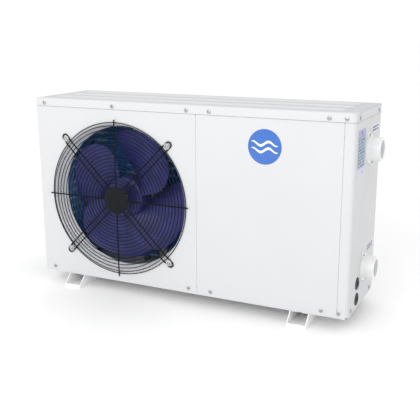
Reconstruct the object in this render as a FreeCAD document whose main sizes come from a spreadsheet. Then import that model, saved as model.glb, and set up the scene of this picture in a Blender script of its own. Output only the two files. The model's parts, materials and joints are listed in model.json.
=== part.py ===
import FreeCAD, Part
import math
import operator
import os

import Sketcher
from FreeCAD import Placement, Rotation, Vector

# A pool heat pump. Millimetres, +Z up, the front faces -Y. The origin is on the ground, midway between the
# four anchor slots of the feet. Places inside the casing are counted from the casing's front lower left
# corner: x to the right, y to the back, z up.

os.makedirs("parts", exist_ok=True)
doc = FreeCAD.newDocument("HeatPump")
sheet_cells = doc.addObject("Spreadsheet::Sheet", "Dims")
OPERATIONS = {"+": operator.add, "-": operator.sub, "*": operator.mul, "/": operator.truediv}
PARTS = []


class Dim:
    """A length that knows its spreadsheet expression and its value in millimetres."""

    def __init__(self, text, value):
        self.text = text
        self.value = float(value)

    def __add__(self, other):
        return combined(self, "+", other)

    def __radd__(self, other):
        return combined(other, "+", self)

    def __sub__(self, other):
        return combined(self, "-", other)

    def __rsub__(self, other):
        return combined(other, "-", self)

    def __mul__(self, other):
        return combined(self, "*", other)

    def __rmul__(self, other):
        return combined(other, "*", self)

    def __truediv__(self, other):
        return combined(self, "/", other)

    def __neg__(self):
        return combined(0, "-", self)

    def __float__(self):
        return self.value


def dim(number):
    return number if isinstance(number, Dim) else Dim(repr(float(number)), number)


def combined(left, sign, right):
    left, right = dim(left), dim(right)
    return Dim(f"({left.text} {sign} {right.text})", OPERATIONS[sign](left.value, right.value))


def cells(values):
    """Write a section of driving dimensions into the sheet and return them as Dims."""
    found = []
    for alias, value in values.items():
        row = len(cells.aliases) + 1
        cells.aliases.append(alias)
        sheet_cells.set(f"A{row}", alias)
        sheet_cells.set(f"B{row}", str(value))
        sheet_cells.setAlias(f"B{row}", alias)
        found.append(Dim(f"Dims.{alias}", value))
    doc.recompute()
    return found


cells.aliases = []

# Casing and feet
(WIDTH, DEPTH, HEIGHT, LIFT, SHEET, CORNER, COVER_DROP, FAN_PANEL, SERVICE_PANEL, SEAM, PAN_DROP,
 PAN_FLANGE) = cells({
     "casing_width": 1000, "casing_depth": 270, "casing_height": 555, "ground_gap": 42, "sheet": 1.2,
     "corner_radius": 11, "cover_drop": 28, "fan_panel_width": 547.5, "service_panel_width": 422.5,
     "seam_gap": 0.6, "pan_drop": 5, "pan_flange": 19})
ANCHOR_X, FOOT_INSET, FOOT_WIDTH, FOOT_OVERHANG, FOOT_SHEET, SLOT_LENGTH, SLOT_RADIUS, SLOT_SETBACK = cells({
    "anchor_spacing": 745, "foot_left_inset": 119, "foot_width": 56, "foot_overhang": 27, "foot_sheet": 2,
    "slot_length": 22, "slot_radius": 5.5, "slot_setback": 14})
BEAD_WIDTH, BEAD_HEIGHT, BEAD_PITCH, BEAD_FIRST, BEAD_END, COVER_EDGE = cells({
    "bead_width": 42, "bead_height": 4, "bead_pitch": 76, "bead_first": 50, "bead_end": 36,
    "cover_edge_radius": 3})

# Fan, grille and motor
FAN_X, FAN_Z, MOUTH, THROAT, COLLAR_DEPTH, LIP = cells({
    "fan_x": 282, "fan_z": 256, "mouth_radius": 228, "throat_radius": 217, "collar_depth": 48,
    "lip_radius": 4})
RING_OUTER, RING_NEXT, RING_PITCH, RING_WIRE, SPOKE_WIRE, RING_FRONT, LOOP_REACH, LOOP_HALF, PLATE_R = cells({
    "ring_outer": 233, "ring_next": 223.5, "ring_pitch": 10.7, "ring_wire": 1.3, "spoke_wire": 2,
    "ring_front": 9, "loop_reach": 264, "loop_half": 8.75, "plate_radius": 42.5})
TIP, HUB_R, HUB_FRONT, HUB_LENGTH, BLADE_FRONT, BLADE_BACK, BLADE_SHEET = cells({
    "blade_tip": 204, "hub_radius": 64, "hub_front": 38, "hub_length": 52, "blade_front": 33,
    "blade_back": 94, "blade_sheet": 2.8})
SHAFT_R, MOTOR_R, MOTOR_FRONT, MOTOR_LENGTH, BEARING_R, BEARING_W, RUNNING_GAP = cells({
    "shaft_radius": 6, "motor_radius": 56, "motor_front": 112, "motor_length": 82, "bearing_radius": 16,
    "bearing_width": 10, "running_gap": 0.05})

# Evaporator coil
COIL_THICK, COIL_LEFT, COIL_BACK, COIL_RIGHT, COIL_FRONT, COIL_FOOT, COIL_TALL, COIL_BEND = cells({
    "coil_thickness": 22, "coil_left": 10, "coil_back": 258, "coil_right": 528, "coil_front": 26,
    "coil_foot": 2, "coil_height": 518, "coil_bend": 20})
TUBE_R, TUBE_PITCH, TUBE_FIRST = cells({"tube_radius": 4.76, "tube_pitch": 25.4, "tube_first": 20})

# Refrigerant circuit
COMP_X, COMP_Y, COMP_R, COMP_FOOT, COMP_TALL = cells({
    "compressor_x": 650, "compressor_y": 145, "compressor_radius": 58, "compressor_foot": 22,
    "compressor_height": 215})
DRUM_X, DRUM_Y, DRUM_R, DRUM_TALL = cells({
    "drum_x": 748, "drum_y": 172, "drum_radius": 30, "drum_height": 170})

# Water circuit
SHELL_X, SHELL_Y, SHELL_R, SHELL_WALL, SHELL_FOOT, SHELL_TALL = cells({
    "shell_x": 880, "shell_y": 150, "shell_radius": 72, "shell_wall": 5, "shell_foot": 20,
    "shell_height": 450})
SOCKET_R, SOCKET_BORE, SOCKET_REACH, FLANGE_R, FLANGE_T, EAR_SIDE, EAR_RISE, EAR_R = cells({
    "socket_radius": 33, "socket_bore": 25.1, "socket_reach": 36, "flange_radius": 39, "flange_thickness": 4,
    "ear_side": 19, "ear_rise": 40, "ear_radius": 9})
OUTLET_Z, INLET_Z, STUB_R = cells({"outlet_height": 440, "inlet_height": 102.5, "stub_radius": 25})

# Electrical box, glands, labels and badge
BOX_X, BOX_Y, BOX_Z, BOX_W, BOX_D, BOX_TALL = cells({
    "box_x": 566, "box_y": 22, "box_z": 318, "box_width": 220, "box_depth": 86, "box_height": 196})
GLAND_Y, GLAND_LOW, GLAND_PITCH, GLAND_R, GLAND_BORE = cells({
    "gland_y": 86.5, "gland_low": 26, "gland_pitch": 46, "gland_radius": 18, "gland_bore": 7})
LABEL_T, BADGE_X, BADGE_Z, BADGE_R = cells({
    "label_thickness": 0.4, "badge_x": 754, "badge_z": 450, "badge_radius": 48})
SCREW_R, SCREW_HEAD_R, SCREW_HEAD, SCREW_LENGTH, SCREW_GAP = cells({
    "screw_radius": 2, "screw_head_radius": 5.6, "screw_head": 2.6, "screw_length": 9, "screw_gap": 0.2})

LEFT = -(ANCHOR_X / 2 + FOOT_INSET)
FRONT = -(DEPTH / 2)
COVER_Z = HEIGHT - COVER_DROP
BOLT_R, BOLT_HOLE_R = 4, 4.2
FRONT_EDGE_ROOT, FRONT_EDGE_SWEEP = 10, 33
BACK_EDGE_ROOT, BACK_EDGE_SWEEP = 78, 30
TIP_RAKE = 6
GLAND_SLEEVE = 12
EAR_REACH = 44
PANEL_TOP = HEIGHT - BEAD_HEIGHT - COVER_EDGE
SPOKE_BACK = RING_FRONT - RING_WIRE - 2 * SPOKE_WIRE


# ---------------------------------------------------------------- building blocks

TURNS = {
    "Z": Rotation(),
    "X": Rotation(Vector(0, 1, 0), 90),
    "Y": Rotation(Vector(1, 0, 0), -90),
}


def inside(x, y, z):
    """A place counted from the casing's front lower left corner."""
    return LEFT + x, FRONT + y, LIFT + z


def vector(place):
    return Vector(*[float(dim(part)) for part in place])


def put(solid, at, turn=Rotation()):
    solid.Placement = Placement(vector(at), turn)
    for letter, size in zip("xyz", at):
        solid.setExpression(f"Placement.Base.{letter}", dim(size).text)
    return solid


def box(name, low, high):
    solid = doc.addObject("Part::Box", name)
    for side, start, end in zip(("Length", "Width", "Height"), low, high):
        solid.setExpression(side, (dim(end) - start).text)
    return put(solid, low)


def cylinder(name, at, radius, length, axis="Z"):
    solid = doc.addObject("Part::Cylinder", name)
    solid.setExpression("Radius", dim(radius).text)
    solid.setExpression("Height", dim(length).text)
    return put(solid, at, TURNS[axis])


def cone(name, at, first, last, length, axis="Z"):
    solid = doc.addObject("Part::Cone", name)
    solid.setExpression("Radius1", dim(first).text)
    solid.setExpression("Radius2", dim(last).text)
    solid.setExpression("Height", dim(length).text)
    return put(solid, at, TURNS[axis])


def torus(name, at, ring, wire, axis="Z", sweep=360, turn=None):
    solid = doc.addObject("Part::Torus", name)
    solid.setExpression("Radius1", dim(ring).text)
    solid.setExpression("Radius2", dim(wire).text)
    solid.Angle3 = sweep
    return put(solid, at, turn or TURNS[axis])


def cut(name, base, *tools):
    """Take the tools away from the base, one after the other in a single cut."""
    result = doc.addObject("Part::Cut", name)
    result.Base = base
    result.Tool = tools[0] if len(tools) == 1 else group(f"{name}_tools", tools)
    return result


def fuse(name, *solids):
    result = doc.addObject("Part::MultiFuse", name)
    result.Shapes = list(solids)
    return result


def group(name, solids):
    """Several separate solids kept together."""
    result = doc.addObject("Part::Compound", name)
    result.Links = list(solids)
    return result


def feature(name, shape):
    """A free-form solid, made with Part's own functions."""
    result = doc.addObject("Part::Feature", name)
    result.Shape = shape
    return result


def keep(node, solid):
    """Name a finished sub-part; the name is also its file's name."""
    solid.Label = node
    PARTS.append(solid)
    return solid


def tube(name, at, outer, inner, length, axis="Z"):
    return cut(name, cylinder(f"{name}_outside", at, outer, length, axis),
               cylinder(f"{name}_inside", at, inner, length, axis))


def sketch(body, name, role, points, centres=None):
    """A closed, fully bound outline; an edge with a centre is an arc around it, counterclockwise."""
    drawing = body.newObject("Sketcher::SketchObject", name)
    plane = next(part for part in body.Origin.OriginFeatures if part.Role == role)
    drawing.AttachmentSupport = [(plane, "")]
    drawing.MapMode = "FlatFace"
    centres = centres or {}
    corners = [Vector(float(dim(u)), float(dim(v)), 0) for u, v in points]
    starts = {}
    ends = {}
    for index, corner in enumerate(corners):
        following = corners[(index + 1) % len(corners)]
        starts[index], ends[index] = 1, 2
        if index not in centres:
            drawing.addGeometry(Part.LineSegment(corner, following))
            continue
        middle, turn = centres[index]
        middle = Vector(float(dim(middle[0])), float(dim(middle[1])), 0)
        if turn < 0:
            corner, following = following, corner
            starts[index], ends[index] = 2, 1
        angles = [math.atan2(p.y - middle.y, p.x - middle.x) for p in (corner, following)]
        circle = Part.Circle(middle, Vector(0, 0, 1), (corner - middle).Length)
        drawing.addGeometry(Part.ArcOfCircle(circle, angles[0], angles[1]))
    for index in range(len(corners)):
        after = (index + 1) % len(corners)
        drawing.addConstraint(Sketcher.Constraint("Coincident", index, ends[index], after, starts[after]))
    for index, point in enumerate(points):
        bind_point(drawing, index, starts[index], point)
    for index, (middle, turn) in centres.items():
        bind_point(drawing, index, 3, middle, first_only=True)
    return drawing


def bind_point(drawing, edge, end, point, first_only=False):
    """Tie a sketch point to the sketch's origin by its two sizes."""
    kinds = ("DistanceX",) if first_only else ("DistanceX", "DistanceY")
    for kind, size in zip(kinds, point):
        number = drawing.addConstraint(Sketcher.Constraint(kind, -1, 1, edge, end, float(dim(size))))
        drawing.setExpression(f"Constraints[{number}]", dim(size).text)


def pad_body(name, role, points, length, at, centres=None, reverse=False):
    """A body padded from one outline on one of its own origin planes."""
    body = doc.addObject("PartDesign::Body", name)
    pad = body.newObject("PartDesign::Pad", f"{name}_pad")
    pad.Profile = sketch(body, f"{name}_outline", role, points, centres)
    pad.setExpression("Length", dim(length).text)
    pad.Reversed = reverse
    body.Tip = pad
    return put(body, at)


def turned_body(name, points, at, axis="Z", centres=None):
    """A body turned from a profile of (radius, height) points about its own Z axis."""
    body = doc.addObject("PartDesign::Body", name)
    turning = body.newObject("PartDesign::Revolution", f"{name}_turning")
    profile = sketch(body, f"{name}_profile", "XZ_Plane", points, centres)
    turning.Profile = profile
    turning.ReferenceAxis = (profile, ["V_Axis"])
    turning.Angle = 360
    body.Tip = turning
    return put(body, at, TURNS[axis])


def rounded_path(points, bend):
    """A wire through the points with its corners rounded to the bend radius."""
    points = [Vector(point) for point in points]
    edges = []
    last = points[0]
    for before, corner, after in zip(points, points[1:], points[2:]):
        back = (before - corner).normalize()
        on = (after - corner).normalize()
        half = back.getAngle(on) / 2
        reach = bend / math.tan(half)
        start = corner + back * reach
        end = corner + on * reach
        centre = corner + (back + on).normalize() * (bend / math.sin(half))
        middle = centre + (corner - centre).normalize() * bend
        if (start - last).Length > 1e-6:
            edges.append(Part.LineSegment(last, start).toShape())
        edges.append(Part.Arc(start, middle, end).toShape())
        last = end
    edges.append(Part.LineSegment(last, points[-1]).toShape())
    return Part.Wire(edges)


def swept(path, radius):
    """A round rod along a wire."""
    edge = path.OrderedEdges[0]
    start = edge.valueAt(edge.FirstParameter)
    towards = edge.tangentAt(edge.FirstParameter)
    ring = Part.Wire(Part.makeCircle(float(radius), start, towards))
    return path.makePipeShell([ring], True, True)


def screw(name, at, axis, outward, head_radius=SCREW_HEAD_R, length=SCREW_LENGTH):
    """A pan-head screw whose head rests on the surface at a place and points outward along an axis."""
    letter = "XYZ".index(axis)
    under = list(at)
    over = list(at)
    if outward > 0:
        under[letter] = at[letter] - length
    else:
        over[letter] = at[letter] - SCREW_HEAD
    rim = cylinder(f"{name}_head", over, head_radius, SCREW_HEAD, axis)
    return fuse(name, rim, cylinder(f"{name}_shank", under, SCREW_R, length, axis))


def screw_hole(name, at, axis, outward, length=SCREW_LENGTH):
    """The clearance hole of such a screw."""
    letter = "XYZ".index(axis)
    start = list(at)
    start[letter] = at[letter] - length - 1 if outward > 0 else at[letter] - 1
    return cylinder(name, start, SCREW_R + SCREW_GAP, length + 2, axis)


# ---------------------------------------------------------------- casing

COVER_SCREW_Z = HEIGHT - 19
BASE_SCREW_Z = 11
COVER_FRONT_X = [30, 275, 519, 589, 929, 975]
BASE_FRONT_X = [36, 520, 592, 926, 975]
SIDE_Y = [30, 237]

COVER_SPOTS = ([(inside(x, 0, COVER_SCREW_Z), "Y", -1) for x in COVER_FRONT_X]
               + [(inside(x, DEPTH, COVER_SCREW_Z), "Y", 1) for x in COVER_FRONT_X]
               + [(inside(WIDTH, y, COVER_SCREW_Z), "X", 1) for y in SIDE_Y]
               + [(inside(0, y, COVER_SCREW_Z), "X", -1) for y in SIDE_Y])
BASE_SPOTS = ([(inside(x, 0, BASE_SCREW_Z), "Y", -1) for x in BASE_FRONT_X]
              + [(inside(x, DEPTH, BASE_SCREW_Z), "Y", 1) for x in BASE_FRONT_X[2:]]
              + [(inside(WIDTH, y, BASE_SCREW_Z), "X", 1) for y in SIDE_Y])


def drilled(node, solid, spots):
    """A sheet part with the clearance holes of its screws."""
    holes = [screw_hole(f"{node}_hole", *spot) for spot in spots]
    return keep(node, cut(node, solid, *holes))


def hollow_box(name, low, high, wall):
    """A folded tray: a box less a smaller one that runs out through its top."""
    inner_low = [edge + wall for edge in low]
    inner_high = [high[0] - wall, high[1] - wall, high[2] + wall]
    return cut(name, box(f"{name}_outside", low, high), box(f"{name}_inside", inner_low, inner_high))


def base_pan():
    low = inside(SHEET, SHEET, -PAN_DROP)
    high = inside(WIDTH - SHEET, DEPTH - SHEET, PAN_FLANGE)
    tray = hollow_box("base_pan_tray", low, high, SHEET)
    drain = cylinder("base_pan_drain", inside(FAN_X, 225, -PAN_DROP - 1), 9, 4)
    bolts = [cylinder("base_pan_bolt_hole", (x, y, LIFT - PAN_DROP - 1), BOLT_HOLE_R, 4)
             for x, y in foot_bolt_spots()]
    holes = [screw_hole("base_pan_hole", *spot) for spot in BASE_SPOTS]
    gland = cylinder("base_pan_gland_notch", inside(WIDTH - 12, GLAND_Y, GLAND_LOW), 17, 12, "X")
    keep("base_pan", cut("base_pan", tray, drain, corner_relief(), gland, *bolts, *holes))


def corner_relief():
    """What the pan gives up so that it follows the rounded front corner of the right side panel."""
    low = inside(WIDTH - CORNER, 0, -PAN_DROP - 1)
    square = box("corner_relief_square", low, inside(WIDTH, CORNER, PAN_FLANGE + 1))
    bend = cylinder("corner_relief_bend", inside(WIDTH - CORNER, CORNER, -PAN_DROP - 2), CORNER - SHEET,
                    PAN_FLANGE + PAN_DROP + 4)
    return cut("corner_relief", square, bend)


def foot_bolt_spots():
    side = ANCHOR_X / 2
    rim = FOOT_WIDTH / 2 - 9
    return [(centre + edge, y) for centre in (-side, side) for edge in (-rim, rim) for y in (-112, 112)]


def foot(node, centre):
    """A folded rail: side walls with sloping ends, inward top flanges, slotted tabs front and back."""
    half = FOOT_WIDTH / 2
    tip = DEPTH / 2 + FOOT_OVERHANG
    top = LIFT - PAN_DROP
    nose = FOOT_SHEET + 6
    outline = [(-tip, 0), (tip, 0), (tip, nose), (DEPTH / 2 - 2, top), (-(DEPTH / 2) + 2, top), (-tip, nose)]
    rail = pad_body(f"{node}_rail", "YZ_Plane", outline, FOOT_WIDTH, (centre - half, 0, 0))
    channel = box(f"{node}_channel", (centre - half + FOOT_SHEET, -tip + FOOT_SHEET, FOOT_SHEET),
                  (centre + half - FOOT_SHEET, tip - FOOT_SHEET, top - FOOT_SHEET))
    gap = box(f"{node}_gap", (centre - 8, -tip + FOOT_SHEET, top - FOOT_SHEET - 1),
              (centre + 8, tip - FOOT_SHEET, top + 1))
    throat = [box(f"{node}_throat", (centre - half + FOOT_SHEET, low, FOOT_SHEET),
                  (centre + half - FOOT_SHEET, high, top + 1))
              for low, high in ((-tip + FOOT_SHEET, -(DEPTH / 2) + 4), (DEPTH / 2 - 4, tip - FOOT_SHEET))]
    window = box(f"{node}_window", (centre - half + 7, -(DEPTH / 2) - 1, -1),
                 (centre + half - 7, DEPTH / 2 + 1, FOOT_SHEET + 1))
    slots = [slot(f"{node}_slot", centre, side * (tip - SLOT_SETBACK)) for side in (-1, 1)]
    bolts = [cylinder(f"{node}_bolt_hole", (x, y, top - FOOT_SHEET - 1), BOLT_HOLE_R, FOOT_SHEET + 2)
             for x, y in foot_bolt_spots() if abs(float(x) - float(centre)) < float(half)]
    keep(node, cut(node, rail, channel, gap, *throat, window, *slots, *bolts))


def slot(name, x, y):
    """The cutter of a slot that runs along X with round ends."""
    run = SLOT_LENGTH / 2 - SLOT_RADIUS
    ends = [cylinder(f"{name}_end", (x + side * run, y, -1), SLOT_RADIUS, FOOT_SHEET + 2) for side in (-1, 1)]
    middle = box(f"{name}_middle", (x - run, y - SLOT_RADIUS, -1), (x + run, y + SLOT_RADIUS, FOOT_SHEET + 1))
    return fuse(name, *ends, middle)


def foot_bolts():
    """Hexagon bolts that hold the feet to the pan."""
    bolts = []
    for x, y in foot_bolt_spots():
        under = LIFT - PAN_DROP - FOOT_SHEET
        head = doc.addObject("Part::Prism", "foot_bolt_head")
        head.Polygon = 6
        head.Circumradius = 7
        head.Height = 5
        put(head, (x, y, under - 5))
        bolts.append(fuse("foot_bolt", head, cylinder("foot_bolt_shank", (x, y, under - 1), BOLT_R, 9)))
    keep("foot_bolts", group("foot_bolts", bolts))


def bead(name, y, grow):
    """A raised bead of the cover with sloping sides, as a padded trapezium; grow thickens it for the skin."""
    half = BEAD_WIDTH / 2
    slope = BEAD_WIDTH / 5
    outline = [(-half - grow, -SHEET * 2), (half + grow, -SHEET * 2), (half + grow, 0),
               (half - slope + grow, BEAD_HEIGHT + grow), (-half + slope - grow, BEAD_HEIGHT + grow),
               (-half - grow, 0)]
    reach = BEAD_END - grow
    return pad_body(name, "YZ_Plane", outline, WIDTH - 2 * reach, inside(reach, y, HEIGHT - BEAD_HEIGHT))


def rounded_lid(name, low, high, side_radius, top_radius, front_right_radius):
    """A block whose upright and top edges are rounded; the front right edge has its own radius."""
    block = box(f"{name}_block", low, high)
    doc.recompute()
    edges = []
    for number, edge in enumerate(block.Shape.Edges, 1):
        middle = edge.CenterOfMass
        if edge.BoundBox.ZLength > 1:
            at_corner = middle.x > 0 and middle.y < 0
            radius = front_right_radius if at_corner else side_radius
        else:
            radius = top_radius if middle.z > float(high[2]) - 1 else 0
        if float(radius) > 0:
            edges.append((number, float(radius), float(radius)))
    lid = doc.addObject("Part::Fillet", name)
    lid.Base = block
    lid.Edges = edges
    return lid


def top_cover():
    """A lid folded from sheet with three pressed beads; its top face is below the beads' crowns."""
    plain = HEIGHT - BEAD_HEIGHT
    low = inside(-SHEET, -SHEET, COVER_Z)
    high = inside(WIDTH + SHEET, DEPTH + SHEET, plain)
    skin = rounded_lid("top_cover_skin", low, high, COVER_EDGE, COVER_EDGE, CORNER + SHEET)
    hollow = rounded_lid("top_cover_hollow", [edge + SHEET for edge in low[:2]] + [low[2] - 1],
                         [edge - SHEET for edge in high], 0, 0, CORNER)
    spots = [BEAD_FIRST + BEAD_PITCH * count for count in range(3)]
    outer = fuse("top_cover_outer", skin, *[bead("top_cover_bead", y, 0) for y in spots])
    under = [bead("top_cover_bead_under", y, -SHEET) for y in spots]
    holes = [screw_hole("top_cover_hole", *spot) for spot in on_the_skirt()]
    keep("top_cover", cut("top_cover", outer, hollow, *under, *holes))


def on_the_skirt():
    """The cover's screw places, moved one sheet thickness outward on to the cover's skirt."""
    moved = []
    for at, axis, way in COVER_SPOTS:
        out = [way * SHEET if letter == axis else 0 for letter in "XYZ"]
        moved.append((tuple(edge + step for edge, step in zip(at, out)), axis, way))
    return moved


def front_fan_panel():
    """The sheet in front of the fan with its rolled bell-mouth, and a return along the left side."""
    top = PANEL_TOP
    sheet = box("fan_panel_sheet", inside(0, 0, 0), inside(FAN_PANEL - SEAM / 2, SHEET, top))
    side = box("fan_panel_return", inside(0, 0, 0), inside(SHEET, 18, top))
    hole = cylinder("fan_panel_opening", inside(FAN_X, -1, FAN_Z), MOUTH + LIP, 4, "Y")
    profile = [(MOUTH + LIP, 0), (MOUTH, LIP), (THROAT, COLLAR_DEPTH), (THROAT + SHEET, COLLAR_DEPTH),
               (MOUTH + SHEET, LIP), (MOUTH + LIP, SHEET)]
    centre = (MOUTH + LIP, LIP)
    mouth = turned_body("fan_panel_mouth", profile, inside(FAN_X, 0, FAN_Z), "Y",
                        {0: (centre, -1), 4: (centre, 1)})
    spots = [spot for spot in COVER_SPOTS + BASE_SPOTS if on_sheet(spot, 0, FAN_PANEL, "Y", -1)]
    drilled("front_fan_panel", fuse("fan_panel_whole", cut("fan_panel_flat", sheet, hole), side, mouth), spots
            + [(at, "Y", -1) for at in grille_spots()])


def on_sheet(spot, start, end, axis, way):
    """Whether a screw goes through the sheet that spans start to end on one side of the casing."""
    at, screw_axis, outward = spot
    along = float(at[0]) - float(LEFT)
    return screw_axis == axis and outward == way and float(dim(start)) < along < float(dim(end))


def service_panel():
    start = FAN_PANEL + SEAM / 2
    end = FAN_PANEL + SERVICE_PANEL - SEAM / 2
    sheet = box("service_panel_sheet", inside(start, 0, 0), inside(end, SHEET, PANEL_TOP))
    spots = [spot for spot in COVER_SPOTS + BASE_SPOTS if on_sheet(spot, start, end, "Y", -1)]
    drilled("service_panel", sheet, spots)


def right_side_panel():
    """The right side, wrapped round the front corner, with the openings of the sockets and glands."""
    start = LEFT + FAN_PANEL + SERVICE_PANEL + SEAM / 2
    right = LEFT + WIDTH
    back = FRONT + DEPTH
    inner = CORNER - SHEET
    outline = [(start, FRONT), (right - CORNER, FRONT), (right, FRONT + CORNER), (right, back),
               (right - SHEET, back), (right - SHEET, FRONT + CORNER), (right - CORNER, FRONT + SHEET),
               (start, FRONT + SHEET)]
    centre = (right - CORNER, FRONT + SHEET + inner)
    wrap = pad_body("side_panel_wrap", "XY_Plane", outline, PANEL_TOP, (0, 0, LIFT),
                    {1: (centre, 1), 5: (centre, -1)})
    water = [cylinder("side_panel_water", inside(WIDTH - 4, SHELL_Y, z), STUB_R + 1, 8, "X")
             for z in (OUTLET_Z, INLET_Z)]
    glands = [cylinder("side_panel_gland", inside(WIDTH - 4, GLAND_Y, height), GLAND_SLEEVE, 8, "X")
              for height in (GLAND_LOW, GLAND_LOW + GLAND_PITCH)]
    spots = [spot for spot in COVER_SPOTS + BASE_SPOTS
             if on_sheet(spot, start - LEFT, WIDTH, "Y", -1) or spot[1:] == ("X", 1)]
    flange_holes = [screw_hole("side_panel_flange_hole", *spot) for spot in socket_spots()]
    drilled("right_side_panel", cut("side_panel_open", wrap, *water, *glands, *flange_holes), spots)


def rear_panel():
    """The rear of the compressor side, with rows of pressed cooling slits."""
    start = COIL_RIGHT + 5
    sheet = box("rear_panel_sheet", inside(start, DEPTH - SHEET, 0), inside(WIDTH - SHEET, DEPTH, PANEL_TOP))
    width, height, pitch, lowest = 110, 5, 16, 330
    slits = []
    for x in (620, 770):
        for row in range(8):
            z = lowest + pitch * row
            slits.append(box("rear_panel_slit", inside(x, DEPTH - 3, z),
                             inside(x + width, DEPTH + 2, z + height)))
    spots = [spot for spot in COVER_SPOTS + BASE_SPOTS if on_sheet(spot, start, WIDTH, "Y", 1)]
    drilled("rear_panel", cut("rear_panel_vented", sheet, *slits), spots)


def corner_post():
    """The angle at the rear left corner that carries the cover and both coil guards."""
    top = PANEL_TOP
    angle = fuse("corner_post_angle",
                 box("corner_post_side", inside(0, DEPTH - 40, 0), inside(SHEET, DEPTH, top)),
                 box("corner_post_back", inside(0, DEPTH - SHEET, 0), inside(40, DEPTH, top)))
    spots = [spot for spot in COVER_SPOTS if on_sheet(spot, 0, 40, "Y", 1)
             or (spot[1:] == ("X", -1) and float(spot[0][1]) > 50)]
    drilled("corner_post", angle, spots)


def partition_plate():
    """The wall between the fan side and the compressor side, in front of the coil's end."""
    floor = SHEET - PAN_DROP
    plate = box("partition_sheet", inside(FAN_PANEL + 4, 2 * SHEET, floor),
                inside(FAN_PANEL + 4 + SHEET, COIL_BACK - COIL_THICK - 4, PANEL_TOP))
    keep("partition_plate", plate)


def guard(node, starts, ends, axis, depth, behind):
    """A mesh of straight wires: the upright ones lie against the level ones."""
    wire = 1.5
    low, high = 28, 508
    pitch = 41
    along = "XY".index(axis)
    level = []
    upright = []
    for row in range(int((high - low) / pitch) + 1):
        at = [0, 0, low + pitch * row]
        at[along], at[1 - along] = starts, depth
        level.append(cylinder(f"{node}_level", inside(*at), wire, ends - starts, axis))
    columns = int((ends - starts - 8) / pitch) + 1
    for column in range(columns):
        at = [0, 0, low - 8]
        at[along], at[1 - along] = starts + 5 + pitch * column, depth + behind * 2 * wire
        upright.append(cylinder(f"{node}_upright", inside(*at), wire, high - low + 16))
    keep(node, group(node, level + upright))


# ---------------------------------------------------------------- grille

def grille_spots():
    """Where the four screws hold the grille: on the diagonals, inside the wire loops."""
    reach = 175
    return [inside(FAN_X + side * reach, 0, FAN_Z + rise * reach) for side in (-1, 1) for rise in (-1, 1)]


def grille_rings():
    """The outer ring lies behind the radial wires, all the others in front of them."""
    rings = [torus("grille_ring", inside(FAN_X, RING_WIRE - SPOKE_BACK, FAN_Z), RING_OUTER, RING_WIRE, "Y")]
    for count in range(17):
        radius = RING_NEXT - RING_PITCH * count
        rings.append(torus("grille_ring", inside(FAN_X, -RING_FRONT, FAN_Z), radius, RING_WIRE, "Y"))
    keep("grille_rings", group("grille_rings", rings))


def grille_spokes():
    """Four straight wires and four hairpins behind the rings; the hairpins bend back to the panel."""
    depth = -float(SPOKE_BACK + SPOKE_WIRE)
    seat = -float(SPOKE_WIRE)
    inner, bend = 28, 6
    end = float(RING_OUTER) + 8.5
    half = float(LOOP_HALF)
    loop = float(LOOP_REACH) - float(SPOKE_WIRE) - half
    rods = []
    for quarter in range(4):
        straight = rounded_path([Vector(inner, depth, 0), Vector(end, depth, 0)], 1)
        rods.append((swept(straight, SPOKE_WIRE), 90 * quarter))
        leg = [Vector(inner, depth, half), Vector(end - 6, depth, half), Vector(end + 1, seat, half),
               Vector(loop, seat, half)]
        back = [Vector(point.x, point.y, -half) for point in reversed(leg)]
        turn = Part.Arc(leg[-1], Vector(loop + half, seat, 0), back[0]).toShape()
        wire = Part.Wire(rounded_path(leg, bend).Edges + [turn] + rounded_path(back, bend).Edges)
        rods.append((swept(wire, SPOKE_WIRE), 90 * quarter + 45))
    centre = vector(inside(FAN_X, 0, FAN_Z))
    shapes = []
    for rod, angle in rods:
        rod.Placement = Placement(centre, Rotation(Vector(0, -1, 0), angle))
        shapes.append(rod)
    keep("grille_spokes", feature("grille_spokes", Part.Compound(shapes)))


def grille_hub_plate():
    """The round plate in front of the radial wires, with a shallow crown on its face."""
    sheet, rise = 1.4, 0.8
    front = -float(SPOKE_BACK + 2 * SPOKE_WIRE) - sheet
    rim = cylinder("hub_plate_rim", inside(FAN_X, front, FAN_Z), PLATE_R, sheet, "Y")
    crown = cone("hub_plate_crown", inside(FAN_X, front - rise, FAN_Z), PLATE_R - 8, PLATE_R - 4, rise, "Y")
    keep("grille_hub_plate", fuse("grille_hub_plate", rim, crown))


def grille_screws():
    """Each screw stands on a domed clear washer that clamps the wire loop."""
    washers = []
    screws = []
    for at in grille_spots():
        x, y, z = at
        washer = cone("grille_washer_dome", (x, y - 6.5, z), 5.5, 6.6, 6.5, "Y")
        bore = cylinder("grille_washer_bore", (x, y - 8, z), SCREW_R + SCREW_GAP, 10, "Y")
        washers.append(cut("grille_washer", washer, bore))
        screws.append(screw("grille_screw", (x, y - 6.5, z), "Y", -1, 4.6, 14))
    keep("grille_washers", group("grille_washers", washers))
    keep("grille_screws", group("grille_screws", screws))


# ---------------------------------------------------------------- fan and motor

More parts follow.
